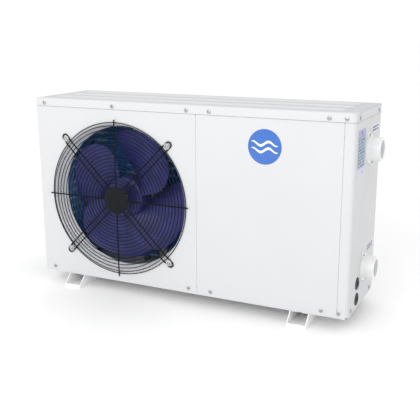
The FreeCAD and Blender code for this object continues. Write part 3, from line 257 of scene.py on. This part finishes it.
def clear_plastic(name):
    """Clear moulded plastic, slightly milky."""
    shader = Shader(name)
    shader.colour(shader.ramp(shader.noise(60, 3), (0.56, 0.57, 0.56), (0.74, 0.75, 0.74)))
    shader.roughness(shader.level(shader.noise(200, 2), 0.08, 0.2))
    shader.bump(shader.noise(600, 2), 0.00002)
    shader.set(Transmission_Weight=0.35, IOR=1.49)
    return shader.material


LOOKS = {
    "white_sheet": powder_coat("powder_white", (0.600, 0.604, 0.612)),
    # The feet take a brighter white than the casing: painted light for their place in the shade under the
    # unit.
    "foot_sheet": powder_coat("powder_feet_lit", (0.92, 0.92, 0.925), 0.02),
    "galvanised": galvanised("galvanised_sheet"),
    "black_wire": mottled("coated_wire", (0.007, 0.0075, 0.010), 0.15, 30, (0.40, 0.55), 1200, 0.00003,
                          Specular_IOR_Level=0.12),
    "screw_steel": zinc_plate("bright_zinc"),
    "clear_plastic": clear_plastic("clear_moulding"),
    "fan_plastic": moulded_blade("indigo_moulding"),
    "steel": mottled("turned_steel", (0.55, 0.55, 0.57), 0.08, 60, (0.22, 0.35), 1500, 0.00001,
                     Metallic=1.0),
    "motor_paint": mottled("motor_paint", (0.50, 0.52, 0.56), 0.04, 12, (0.3, 0.45), 700, 0.00004),
    "copper": drawn_copper("drawn_copper"),
    "fins": fin_stack("blue_fins", (0.016, 0.075, 0.19), (0.10, 0.27, 0.46), 0.6),
    "black_paint": mottled("black_paint", (0.018, 0.018, 0.02), 0.2, 14, (0.3, 0.5), 500, 0.00008),
    "rubber": mottled("rubber", (0.02, 0.02, 0.02), 0.2, 40, (0.7, 0.85), 900, 0.00006),
    "white_pvc": mottled("white_pvc", (0.80, 0.81, 0.80), 0.02, 12, (0.26, 0.36), 300, 0.00004,
                         Coat_Weight=0.15, Coat_Roughness=0.2),
    "grey_pvc": mottled("grey_pvc", (0.16, 0.17, 0.19), 0.06, 14, (0.35, 0.5), 500, 0.00005),
    "titanium": mottled("titanium", (0.45, 0.43, 0.41), 0.08, 40, (0.25, 0.4), 900, 0.00002, Metallic=1.0),
    "green_board": mottled("solder_mask", (0.01, 0.10, 0.04), 0.15, 90, (0.3, 0.5), 900, 0.00003),
    "black_plastic": mottled("black_plastic", (0.012, 0.012, 0.013), 0.2, 40, (0.4, 0.55), 1100, 0.00005),
    "label_film": mottled("label_film", (0.55, 0.55, 0.70), 0.06, 60, (0.3, 0.42), 900, 0.00002),
    "label_white": mottled("label_white", (0.70, 0.70, 0.78), 0.03, 60, (0.35, 0.45), 900, 0.00002),
    "badge_film": mottled("badge_film", (0.018, 0.122, 0.47), 0.06, 30, (0.2, 0.3), 900, 0.00001,
                          Coat_Weight=0.5),
}
INKS = {
    "print_field": mottled("print_field", (0.31, 0.40, 0.50), 0.12, 260, (0.35, 0.45), 900, 0.00001),
    "print_header": mottled("print_header", (0.36, 0.34, 0.60), 0.06, 120, (0.35, 0.45), 900, 0.00001),
    "print_dark": mottled("print_dark", (0.07, 0.08, 0.13), 0.15, 200, (0.35, 0.45), 900, 0.00001),
    "print_grey": mottled("print_grey", (0.13, 0.13, 0.18), 0.15, 200, (0.35, 0.45), 900, 0.00001),
    "badge_white": mottled("badge_white", (0.86, 0.87, 0.90), 0.02, 60, (0.25, 0.35), 900, 0.00001),
    # The lid's coat: its second colour is painted shade for the plain top between the beads.
    "cover_coat": cover_coat("powder_cover", (0.605, 0.609, 0.616), (0.490, 0.500, 0.510)),
    # A brightened copy of the fins for the side seen through the fan: painted light for the shaded chamber.
    "lit_room_fins": fin_stack("lit_room_fins", (0.05, 0.29, 0.70), (0.44, 0.80, 1.0), 1.0),
    # A brightened copy of the white coat: painted light inside the fan mouth.
    "mouth_lit_coat": powder_coat("powder_mouth_lit", (0.93, 0.93, 0.95)),
    # Painted shadow for the seam under the cover's skirt.
    "seam_shade_ink": mottled("seam_shade_ink", (0.22, 0.22, 0.24), 0.15, 200, (0.7, 0.85), 900, 0.00003),
}
SLOT_OF = {part["node"]: part["material_slot"] for part in frame["record"]["subparts"]}
SMOOTH_BELOW = math.radians(32)


def dress(made, material):
    """One material, smooth faces, and sharp edges where the faces meet at a steeper angle."""
    made.data.materials.clear()
    made.data.materials.append(material)
    made.data.shade_smooth()
    made.data.set_sharp_from_angle(angle=SMOOTH_BELOW)


for name, node in nodes.items():
    dress(node, LOOKS[SLOT_OF[name]])


def dress_mouth():
    """The rolled fan mouth takes a brighter copy of the white coat than the flat face of its panel: painted
    light for its shaded inside.
    """
    panel = nodes["front_fan_panel"].data
    panel.materials.append(INKS["mouth_lit_coat"])
    centre = origin + Vector((FAN_X, 0, FAN_Z)) * MM
    for face in panel.polygons:
        across = face.center - centre
        behind_face = across.y > 0.5 * MM
        if behind_face and math.hypot(across.x, across.z) < MOUTH_REACH * MM:
            face.material_index = 1


# ---------------------------------------------------------------- building blocks

AXES = {"X": Vector((1, 0, 0)), "Y": Vector((0, 1, 0)), "Z": Vector((0, 0, 1))}


def inside(x, y, z):
    """A place in metres from millimetres counted from the casing's front lower left corner."""
    return origin + Vector((x, y, z)) * MM


def in_casing(place):
    """The reverse: millimetres from the casing's front lower left corner, from a place in metres."""
    return (place - origin) / MM


def smooth_step(value, start, end):
    """Runs softly from 0 to 1 while the value goes from start to end."""
    share = min(1.0, max(0.0, (value - start) / (end - start)))
    return share * share * (3 - 2 * share)


class Shape:
    """Points and faces that grow into one mesh."""

    def __init__(self):
        self.points = []
        self.faces = []

    def grid(self, rows, close_rows=False, close_columns=False):
        """A sheet of quads through rows of points, closed into a tube or ring where asked."""
        first = len(self.points)
        count = len(rows[0])
        for row in rows:
            self.points.extend(row)
        for row in range(len(rows) - (not close_rows)):
            for column in range(count - (not close_columns)):
                here = first + row * count
                over = first + (row + 1) % len(rows) * count
                step = (column + 1) % count
                self.faces.append((here + column, here + step, over + step, over + column))
        return self

    def lathe(self, profile, at, axis, segments=64):
        """A closed profile of (radius, distance along the axis) in millimetres, turned about the axis."""
        side = axis.orthogonal().normalized()
        other = axis.cross(side)
        rows = []
        for step in range(segments):
            angle = 2 * math.pi * step / segments
            out = side * math.cos(angle) + other * math.sin(angle)
            rows.append([at + (out * radius + axis * along) * MM for radius, along in profile])
        return self.grid(rows, close_rows=True, close_columns=True)

    def block(self, low, high):
        """A box between two corners given as places in metres."""
        rows = [[Vector((low.x, low.y, z)), Vector((high.x, low.y, z)), Vector((high.x, high.y, z)),
                 Vector((low.x, high.y, z))] for z in (low.z, high.z)]
        first = len(self.points)
        self.grid(rows, close_columns=True)
        self.faces.append((first, first + 3, first + 2, first + 1))
        self.faces.append((first + 4, first + 5, first + 6, first + 7))
        return self


def build(name, shape, slot, body="casing", stands_for=(), material=None):
    """A closed mesh that rides on a body, takes a record slot's look and stands for CAD nodes."""
    mesh = bpy.data.meshes.new(name)
    mesh.from_pydata(shape.points, [], shape.faces)
    solid = bmesh.new()
    solid.from_mesh(mesh)
    bmesh.ops.remove_doubles(solid, verts=solid.verts, dist=1e-7)
    bmesh.ops.recalc_face_normals(solid, faces=solid.faces)
    solid.to_mesh(mesh)
    solid.free()
    made = bpy.data.objects.new(name, mesh)
    scene.collection.objects.link(made)
    dress(made, material or LOOKS[slot])
    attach(made, body)
    if stands_for:
        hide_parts(*stands_for)


def islands(node):
    """The (lowest, highest) corners of each separate solid in a CAD node."""
    solid = bmesh.new()
    solid.from_mesh(nodes[node].data)
    bmesh.ops.remove_doubles(solid, verts=solid.verts, dist=1e-5)
    waiting = set(solid.verts)
    found = []
    while waiting:
        stack = [waiting.pop()]
        reached = []
        while stack:
            vertex = stack.pop()
            reached.append(vertex.co.copy())
            for edge in vertex.link_edges:
                other = edge.other_vert(vertex)
                if other in waiting:
                    waiting.remove(other)
                    stack.append(other)
        found.append((Vector([min(point[axis] for point in reached) for axis in range(3)]),
                      Vector([max(point[axis] for point in reached) for axis in range(3)])))
    solid.free()
    return sorted(found, key=lambda box: tuple(round(edge, 4) for edge in box[0]))


# ---------------------------------------------------------------- casing

EDGE = 3.0
CORNER = 12.2
BEAD_CENTRES = (50, 126, 202)
BEAD_HALF, BEAD_SLOPE, BEAD_RISE, BEAD_END, BEAD_END_SLOPE = 21, 8, 4, 36, 14
# The lid's flat top lies inside its rolled edge. Only its front right corner is bent to a wide radius.
LEFT, RIGHT = -SHEET + EDGE, WIDTH + SHEET - EDGE
FRONT, BACK = -SHEET + EDGE, DEPTH + SHEET - EDGE
FLAT_BEND = CORNER - EDGE
BEND_X = RIGHT - FLAT_BEND


def bead_height(x, y):
    """How far the pressed beads stand above the cover's plain top."""
    nearest = min(abs(y - centre) for centre in BEAD_CENTRES)
    across = 1 - smooth_step(nearest, BEAD_HALF - BEAD_SLOPE, BEAD_HALF)
    ends = smooth_step(x, BEAD_END, BEAD_END + BEAD_END_SLOPE)
    ends *= 1 - smooth_step(x, WIDTH - BEAD_END - BEAD_END_SLOPE, WIDTH - BEAD_END)
    return BEAD_RISE * across * ends


def spaced(stops):
    """Numbers that run through (start, end, count) stretches and finish on the last end."""
    numbers = []
    for start, end, count in stops:
        numbers.extend(start + (end - start) * step / count for step in range(count))
    return numbers + [stops[-1][1]]


def round_corner(place, start, swings):
    """A corner of the cover's outline, facing outwards at each of the swings, in degrees from +X."""
    turns = [math.radians(start + swing) for swing in swings]
    return [(place, math.cos(turn), math.sin(turn)) for turn in turns]


def front_line(x):
    """Where the lid's flat top begins at the front, which bends round the right corner."""
    over = max(0.0, x - BEND_X)
    return FRONT + FLAT_BEND - math.sqrt(max(0.0, FLAT_BEND * FLAT_BEND - over * over))


def cover_plan():
    """Rows of places over the lid's flat top, from left to right, each running from front to back."""
    first, last = BEAD_END, WIDTH - BEAD_END
    columns = spaced([(LEFT, first, 4), (first, first + BEAD_END_SLOPE, 8),
                      (first + BEAD_END_SLOPE, last - BEAD_END_SLOPE, 18),
                      (last - BEAD_END_SLOPE, last, 8), (last, BEND_X, 4)])
    columns += [BEND_X + FLAT_BEND * math.sin(math.pi / 2 * step / 6) for step in range(1, 7)]
    count = 130
    plan = []
    for x in columns:
        start = front_line(x)
        plan.append([(x, start + (BACK - start) * step / count) for step in range(count + 1)])
    return plan


def cover_rim(plan):
    """The outline of the flat top: its places, each with the direction that faces outwards there."""
    rim = []
    for x, y in [row[0] for row in plan]:
        turn = math.asin(min(1.0, max(0.0, x - BEND_X) / FLAT_BEND))
        rim.append(((x, y), math.sin(turn), -math.cos(turn)))
    rim += [((RIGHT, y), 1, 0) for x, y in plan[-1][1:]]
    rim += round_corner((RIGHT, BACK), 0, (30, 60, 90))
    rim += [((row[-1][0], BACK), 0, 1) for row in reversed(plan[:-1])]
    rim += round_corner((LEFT, BACK), 90, (30, 60, 90))
    rim += [((LEFT, y), -1, 0) for x, y in reversed(plan[0][:-1])]
    return rim + round_corner((LEFT, FRONT), 180, (30, 60))


def top_cover():
    """The folded lid: soft pressed beads, rolled upper edges, a skirt and its thickness."""
    plan = cover_plan()
    shape = Shape()
    for drop in (0, SHEET):
        shape.grid([[inside(x, y, PLAIN_TOP - drop + bead_height(x, y)) for x, y in row] for row in plan])
    profile = [(EDGE * math.sin(math.pi / 8 * step), PLAIN_TOP - EDGE * (1 - math.cos(math.pi / 8 * step)))
               for step in range(5)]
    chamfer = 0.4
    profile += [(EDGE, COVER_Z + chamfer), (EDGE - chamfer, COVER_Z), (EDGE - SHEET, COVER_Z),
                (EDGE - SHEET, PLAIN_TOP - EDGE)]
    profile += [(0, PLAIN_TOP - SHEET)]
    rows = [[inside(place[0] + out * toward_x, place[1] + out * toward_y, z) for out, z in profile]
            for place, toward_x, toward_y in cover_rim(plan)]
    shape.grid(rows, close_rows=True)
    build("cover_shell", shape, "white_sheet", stands_for=("top_cover",), material=INKS["cover_coat"])


def seam_shadow_strip():
    """A thin dark strip under the cover's skirt: painted shadow that shows the seam as a thin line."""
    gap, thick, tall = 0.02, 0.9, 0.7
    bend = CORNER - SHEET
    path = [((0, 0), (0, -1)), ((WIDTH - bend, 0), (0, -1))]
    for step in range(1, 9):
        turn = math.pi / 2 * step / 8
        out = (math.sin(turn), -math.cos(turn))
        path.append(((WIDTH - bend + bend * out[0], bend + bend * out[1]), out))
    path += [((WIDTH, DEPTH), (1, 0))]
    section = ((gap, COVER_Z - tall), (thick, COVER_Z - tall), (thick, COVER_Z), (gap, COVER_Z))
    rows = [[inside(x + out_x * out, y + out_y * out, z) for out, z in section]
            for (x, y), (out_x, out_y) in path]
    build("seam_shadow_strip", Shape().grid(rows, close_columns=True), "rubber", material=INKS["seam_shade_ink"])


def seam_notches():
    """Small black discs where the upright seams meet the cover and the base: painted shade for the relief
    notches.
    """
    shape = Shape()
    radius, near, far = 1.1, 0.02, 0.12
    profile = [(0, near), (radius, near), (radius, far), (0, far)]
    for x in PANEL_SEAMS:
        for z in (COVER_Z - 2.4, 20):
            shape.lathe(profile, inside(x, 0, z), -AXES["Y"], 16)
    build("seam_notches", shape, "black_plastic")


# ---------------------------------------------------------------- screws and washers

# The height of a screw's head, the depth of its recess, and the rings of its head as shares of its radius.
HEAD = 2.6
RECESS = 1.3
HEAD_RINGS = (0.0, 0.08, 0.14, 0.19, 0.26, 0.34, 0.42, 0.48, 0.54, 0.62, 0.74, 0.86, 0.95, 1.0)


def recess_arm(across, along):
    """How deep one arm of the cross recess is at a place on the head, as a share of its full depth."""
    return (1 - smooth_step(abs(across), 0.10, 0.17)) * (1 - smooth_step(abs(along), 0.46, 0.56))


def head_section(angle):
    """Half a section of the head, as (x, y, height): from the middle of its top to the shank under it."""
    x_side, y_side = math.cos(angle), math.sin(angle)
    section = []
    for ring in HEAD_RINGS:
        x, y = ring * x_side, ring * y_side
        height = HEAD * (0.50 + 0.50 * math.sqrt(max(0.0, 1 - 0.98 * ring ** 2.4)))
        arm = max(recess_arm(x, y), recess_arm(y, x))
        section.append((x, y, height - HEAD - RECESS * arm))
    return section + [(ring * x_side, ring * y_side, -HEAD) for ring in (1.0, 0.4)]


def screw_shape(shape, low, high, turn):
    """A domed pan-head screw with a cross recess, filling the box of its CAD solid."""
    size = high - low
    along = max(range(3), key=lambda number: size[number])
    middle = (low + high) / 2
    casing = inside(WIDTH / 2, DEPTH / 2, COVER_Z / 2)
    axis = Vector((0, 0, 0))
    axis[along] = 1 if middle[along] > casing[along] else -1
    radius = min(size[number] for number in range(3) if number != along) / 2 / MM
    top = middle + axis * size[along] / 2
    side = axis.orthogonal().normalized()
    other = axis.cross(side)
    segments = 48
    rows = []
    for step in range(segments):
        placed = []
        for x, y, height in head_section(2 * math.pi * step / segments):
            flat = (side * (x * math.cos(turn) - y * math.sin(turn))
                    + other * (x * math.sin(turn) + y * math.cos(turn)))
            placed.append(top + (flat * radius + axis * height) * MM)
        rows.append(placed)
    shape.grid(rows, close_rows=True)
    length = size[along] / MM
    shank, tip, taper = 1.9, 0.6, 1.5
    shape.lathe([(0, -HEAD), (shank, -HEAD), (shank, taper - length), (tip, -length), (0, -length)],
                top, axis, 16)


def screws():
    """The screws of each group, each turned a little further than the one before."""
    for node in ("casing_screws", "socket_screws", "grille_screws", "fan_motor_screws"):
        shape = Shape()
        for number, (low, high) in enumerate(islands(node)):
            screw_shape(shape, low, high, 0.65 * number)
        build(f"{node}_driven", shape, SLOT_OF[node], stands_for=(node,))


def clear_washers():
    """Clear top-hat washers: a boss inside each wire loop and a domed flange that clamps it."""
    shape = Shape()
    bore = 2.3
    for low, high in islands("grille_washers"):
        middle = (low + high) / 2
        foot = Vector((middle.x, high.y, middle.z))
        boss = [(bore, 0), (6.2, 0), (6.2, 4.1)]
        dome = [(9.2, 4.1), (9.3, 4.5), (9.0, 5.1), (8.1, 5.9), (6.6, 6.4), (bore, 6.5)]
        shape.lathe(boss + dome, foot, -AXES["Y"], 48)
    build("washer_domes", shape, "clear_plastic", stands_for=("grille_washers",))


# ---------------------------------------------------------------- grille, fan and coil

def hub_cap():
    """The pressed round plate that hides where the grille wires meet."""
    rim = [(42.5, 7.7), (42.5, 8.4), (42, 8.9), (41, 9.1)]
    step = [(36.5, 9.15), (34, 9.8)]
    shape = Shape().lathe([(0, 7.7)] + rim + step + [(0, 9.9)], inside(FAN_X, 0, FAN_Z), -AXES["Y"], 96)
    build("hub_cap", shape, "black_wire", stands_for=("grille_hub_plate",))


def ring_wires():
    """The round wires, smooth, at the radii and depths of the CAD rings."""
    shape = Shape()
    wire = 1.3
    around, across = 120, 10
    for low, high in islands("grille_rings"):
        middle = (low + high) / 2
        radius = (high.x - low.x) / 2 / MM - wire
        rows = []
        for step in range(around):
            angle = 2 * math.pi * step / around
            out = Vector((math.cos(angle), 0, math.sin(angle)))
            row = []
            for turn in range(across):
                swing = 2 * math.pi * turn / across
                row.append(middle + (out * (radius + wire * math.cos(swing))
                                     + AXES["Y"] * wire * math.sin(swing)) * MM)
            rows.append(row)
        shape.grid(rows, close_rows=True, close_columns=True)
    build("ring_wires", shape, "black_wire", stands_for=("grille_rings",))


# The blades run from the root radius to the tip radius. Edges, sweeps and the nip of the tips are in degrees
# round the axis; depths, the lean and thicknesses are in millimetres.
BLADES = 4
ROOT, TIP = 61, 204
FRONT_EDGE, FRONT_SWEEP, FRONT_POWER = 10, 33, 2.8
BACK_EDGE, BACK_SWEEP, BACK_POWER = 78, 30, 3.5
NIP, NIP_START = 5, 0.86
BLADE_DEPTH, BLADE_RUN, BLADE_CUP, BLADE_LEAN = 34.4, 61, 0.16, 6
EDGE_THICK, MIDDLE_THICK = 0.5, 2.6
HUB_DEPTH = 38
RIBS = 8


def blade_point(start, share, along, back):
    """A place on a blade's front or back face: share runs from root to tip, along from front to back edge."""
    radius = ROOT + (TIP - ROOT) * share
    nip = NIP * smooth_step(share, NIP_START, 1.0) ** 2
    front_edge = start + FRONT_EDGE + FRONT_SWEEP * share ** FRONT_POWER + nip
    back_edge = start + BACK_EDGE + BACK_SWEEP * (1 - (1 - share) ** BACK_POWER) - nip
    angle = math.radians(front_edge + (back_edge - front_edge) * along)
    run = (1 - BLADE_CUP) * along + BLADE_CUP * along ** 2
    depth = BLADE_DEPTH + BLADE_RUN * run + BLADE_LEAN * share * (1 - along)
    swell = math.sin(math.pi * min(0.97, max(0.03, along))) ** 0.5
    half = (EDGE_THICK + (MIDDLE_THICK - EDGE_THICK) * swell) / 2
    depth += half if back else -half
    return inside(FAN_X + radius * math.cos(angle), depth, FAN_Z + radius * math.sin(angle))


def fan_hub(shape, centre):
    """A cup with a rounded shoulder, and a sleeve for the shaft inside it."""
    outer = [(6.2, 0), (50, 0), (56, 1.2), (60.5, 4), (63, 8), (64, 13), (64, 52), (61, 52)]
    inner = [(60.5, 14), (57, 9), (50, 4), (14, 4), (14, 42), (6.2, 42)]
    shape.lathe(outer + inner, centre, AXES["Y"], 96)


def fan_ribs(shape, centre):
    """Stiffening ribs that run from the sleeve to the cup's wall."""
    half = 1.1
    for rib in range(RIBS):
        angle = 2 * math.pi * rib / RIBS
        out = Vector((math.cos(angle), 0, math.sin(angle)))
        aside = Vector((-math.sin(angle), 0, math.cos(angle))) * half * MM
        rows = []
        for radius, low, high in ((13.5, 4, 40), (60.6, 9, 30)):
            spot = centre + out * radius * MM
            near = spot + AXES["Y"] * low * MM
            far = spot + AXES["Y"] * high * MM
            rows.append([near - aside, near + aside, far + aside, far - aside])
        shape.grid(rows, close_columns=True)


def fan_blade(shape, start):
    """A wide swept blade with thinned edges, from the hub's wall to a closed tip."""
    radial, chord = 22, 30
    rows = []
    for ring in range(radial + 1):
        share = ring / radial
        face = [blade_point(start, share, step / chord, False) for step in range(chord + 1)]
        rear = [blade_point(start, share, step / chord, True) for step in range(chord, -1, -1)]
        rows.append(face + rear)
    shape.grid(rows, close_columns=True)
    last = len(shape.points) - 2 * (chord + 1)
    for step in range(chord):
        here = last + step
        over = last + 2 * chord - step
        shape.faces.append((here, here + 1, over, over + 1))


def impeller():
    """The moulded fan: its hub, the ribs inside the hub, and four blades."""
    shape = Shape()
    centre = inside(FAN_X, HUB_DEPTH, FAN_Z)
    fan_hub(shape, centre)
    fan_ribs(shape, centre)
    for blade in range(BLADES):
        fan_blade(shape, 360 / BLADES * blade)
    build("impeller_moulding", shape, "fan_plastic", "fan", ("fan_impeller",))


def coil_fins():
    """The evaporator's rippled fins, on its left leg, round the bend and along the back, in two pieces."""
    low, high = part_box("evaporator_fins")
    thick, bend = 22 * MM, 20 * MM
    half = thick / 2
    pitch, ripple = 2.0 * MM, 1.4 * MM
    turn = Vector((low.x + thick + bend, high.y - thick - bend, 0))
    middle = bend + half
    path = []
    place = low.y
    while place < turn.y:
        path.append((Vector((low.x + half, place, 0)), Vector((1, 0, 0))))
        place += pitch / 2
    swing = math.pi
    while swing > math.pi / 2:
        out = Vector((math.cos(swing), math.sin(swing), 0))
        path.append((turn + out * middle, -out))
        swing -= pitch / 2 / middle
    place = turn.x
    while place < high.x:
        path.append((Vector((place, high.y - half, 0)), Vector((0, -1, 0))))
        place += pitch / 2
    # The room side takes the brightened copy of the fins: painted light inside the chamber.
    faces = (("coil_room_side", 1, ("evaporator_fins",), INKS["lit_room_fins"]),
             ("coil_outer_side", -1, (), LOOKS["fins"]))
    for name, side, replaced, material in faces:
        rows = []
        for number, (spot, across) in enumerate(path):
            face = spot + across * side * (half - ripple * (number % 2))
            rows.append([face + AXES["Z"] * low.z, face + AXES["Z"] * high.z,
                         spot + AXES["Z"] * high.z, spot + AXES["Z"] * low.z])
        shape = Shape().grid(rows, close_columns=True)
        last = len(shape.points) - 4
        shape.faces += [(0, 1, 2, 3), (last + 3, last + 2, last + 1, last)]
        build(name, shape, "fins", stands_for=replaced, material=material)


# ---------------------------------------------------------------- side fittings, labels and badge

def grommets():
    """Two rubber grommets with a flat domed face, a raised lip round the bore, a groove and a sleeve."""
    shape = Shape()
    bore, neck = 7, 12
    for low, high in islands("cable_glands"):
        middle = (low + high) / 2
        face = Vector((origin.x + WIDTH * MM, middle.y, middle.z))
        lip = [(bore, 2.6), (7.4, 3.3), (8.4, 3.5), (9.4, 3.2), (9.8, 2.5)]
        dome = [(13, 2.7), (13.6, 3.0), (15, 2.9), (16.8, 2.2), (17.8, 1.2), (18, 0)]
        groove = [(neck, 0), (neck, -SHEET), (16, -SHEET), (16, -6.2), (neck, -6.2)]
        sleeve = [(neck, -13.9), (bore, -13.9)]
        shape.lathe(lip + dome + groove + sleeve, face, AXES["X"])
    build("grommets", shape, "black_plastic", stands_for=("cable_glands",))


FILM = 0.26


def printed(shape, y_low, y_high, z_low, z_high, base=FILM, top=FILM + 0.10):
    """A printed patch on the right side, as a thin block."""
    return shape.block(inside(WIDTH + base, y_low, z_low), inside(WIDTH + top, y_high, z_high))


def rating_label():
    """A film label with a header, rows of plain bars instead of text, and a rule; it carries no lettering."""
    low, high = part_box("rating_label")
    film = Shape().block(low, Vector((low.x + FILM * MM, high.y, high.z)))
    build("rating_film", film, "label_film", stands_for=("rating_label",))
    left, bottom = in_casing(low).y + 1, in_casing(low).z
    right, top = in_casing(high).y - 1, in_casing(high).z
    ink, bar = FILM + 0.04, FILM + 0.12
    header = printed(Shape(), left, right, top - 19, top - 1, FILM, ink)
    build("rating_header", header, "label_film", material=INKS["print_header"])
    field = printed(Shape(), left, right, bottom + 18, top - 22, FILM, ink)
    build("rating_field", field, "label_film", material=INKS["print_field"])
    bars = printed(Shape(), left, right, top - 21.4, top - 19.8, FILM, bar)
    printed(bars, left + 35, left + 44, top - 15, top - 5, ink, bar)
    printed(bars, left + 50, left + 57, bottom + 4, bottom + 9, FILM, bar)
    for row in range(9):
        z = top - 30 - 8.6 * row
        first = left + 17 + 9 * ((row * 5) % 4)
        last = right - 6 - 6 * ((row * 3) % 4)
        printed(bars, left + 6, first, z, z + 3, ink)
        printed(bars, first + 8, last, z, z + 3, ink)
    build("rating_bars", bars, "label_film", material=INKS["print_dark"])


def water_labels():
    """The two small white stickers by the sockets, with plain blocks instead of text."""
    stickers = Shape()
    marks = Shape()
    tall = 5.5
    for low, high in islands("water_labels"):
        stickers.block(low, Vector((low.x + FILM * MM, high.y, high.z)))
        left, right = in_casing(low).y, in_casing(high).y
        middle = (in_casing(low).z + in_casing(high).z) / 2
        for bottom in (middle - 7, middle + 1.5):
            printed(marks, left + 6, right - 30, bottom, bottom + tall)
            printed(marks, right - 26, right - 7, bottom, bottom + tall)
    build("water_stickers", stickers, "label_white", stands_for=("water_labels",))
    build("water_marks", marks, "label_white", material=INKS["print_grey"])


def badge():
    """A plain blue roundel with two white waves."""
    low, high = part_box("front_badge")
    middle = (low + high) / 2
    radius = (high.x - low.x) / 2 / MM
    back = Vector((middle.x, high.y, middle.z))
    profile = [(0, 0), (radius, 0), (radius, 0.5), (radius - 0.5, 1.0), (0, 1.0)]
    disc = Shape().lathe(profile, back, -AXES["Y"], 128)
    build("badge_disc", disc, "badge_film", stands_for=("front_badge",))
    waves = Shape()
    count = 60
    margin, swing, length = 9, 5.5, 46
    thin, swell = 0.4, 3.2
    near, far = 0.98, 1.18
    for level in (-9, 9):
        reach = math.sqrt(radius ** 2 - level ** 2) - margin
        rows = []
        for step in range(count + 1):
            x = -reach + 2 * reach * step / count
            z = level + swing * math.sin(2 * math.pi * x / length)
            half = thin + swell * math.sin(math.pi * step / count) ** 0.6
            section = ((near, -half), (far, -half), (far, half), (near, half))
            rows.append([back + Vector((x, -depth, z + rise)) * MM for depth, rise in section])
        waves.grid(rows, close_columns=True)
    build("badge_waves", waves, "badge_film", material=INKS["badge_white"])


top_cover()
seam_shadow_strip()
seam_notches()
screws()
clear_washers()
dress_mouth()
hub_cap()
ring_wires()
impeller()
coil_fins()
grommets()
rating_label()
water_labels()
badge()


# ---------------------------------------------------------------- studio

def studio():
    """A plain pale floor, a white surround and large soft lights."""
    world = bpy.data.worlds.new("surround")
    world.use_nodes = True
    glow = world.node_tree.nodes["Background"].inputs
    glow["Color"].default_value = (1, 1, 1, 1)
    glow["Strength"].default_value = 1.08
    scene.world = world

    mesh = bpy.data.meshes.new("floor")
    reach = 30.0
    mesh.from_pydata([(-reach, -reach, 0), (reach, -reach, 0), (reach, reach, 0), (-reach, reach, 0)], [],
                     [(0, 1, 2, 3)])
    floor = bpy.data.objects.new("floor", mesh)
    scene.collection.objects.link(floor)
    mesh.materials.append(mottled("pale_floor", (0.93, 0.93, 0.93), 0.01, 2, (0.6, 0.7), 60, 0.0001))

    centre = Vector((0, 0, 0.3))
    lamps = (("key", (-0.1, -3.2, 1.7), 1.8, 41), ("fill", (2.4, -2.0, 1.2), 2.0, 1))
    for name, place, size, power in lamps:
        lamp = bpy.data.lights.new(name, "AREA")
        lamp.size = size
        lamp.energy = power
        holder = bpy.data.objects.new(name, lamp)
        holder.location = place
        holder.rotation_euler = (centre - Vector(place)).to_track_quat("-Z", "Y").to_euler()
        scene.collection.objects.link(holder)


def camera():
    """The main view: from the right of the front, a little above the cover."""
    lens = bpy.data.cameras.new("camera")
    lens.lens = 61.62
    lens.sensor_width = 36
    holder = bpy.data.objects.new("camera", lens)
    yaw, pitch, roll = math.radians(25.58), math.radians(14.60), math.radians(0.16)
    holder.location = (0.9529, -1.9137, 0.8137)
    holder.rotation_euler = Euler((math.pi / 2 - pitch, roll, yaw))
    scene.collection.objects.link(holder)
    scene.camera = holder


studio()
camera()
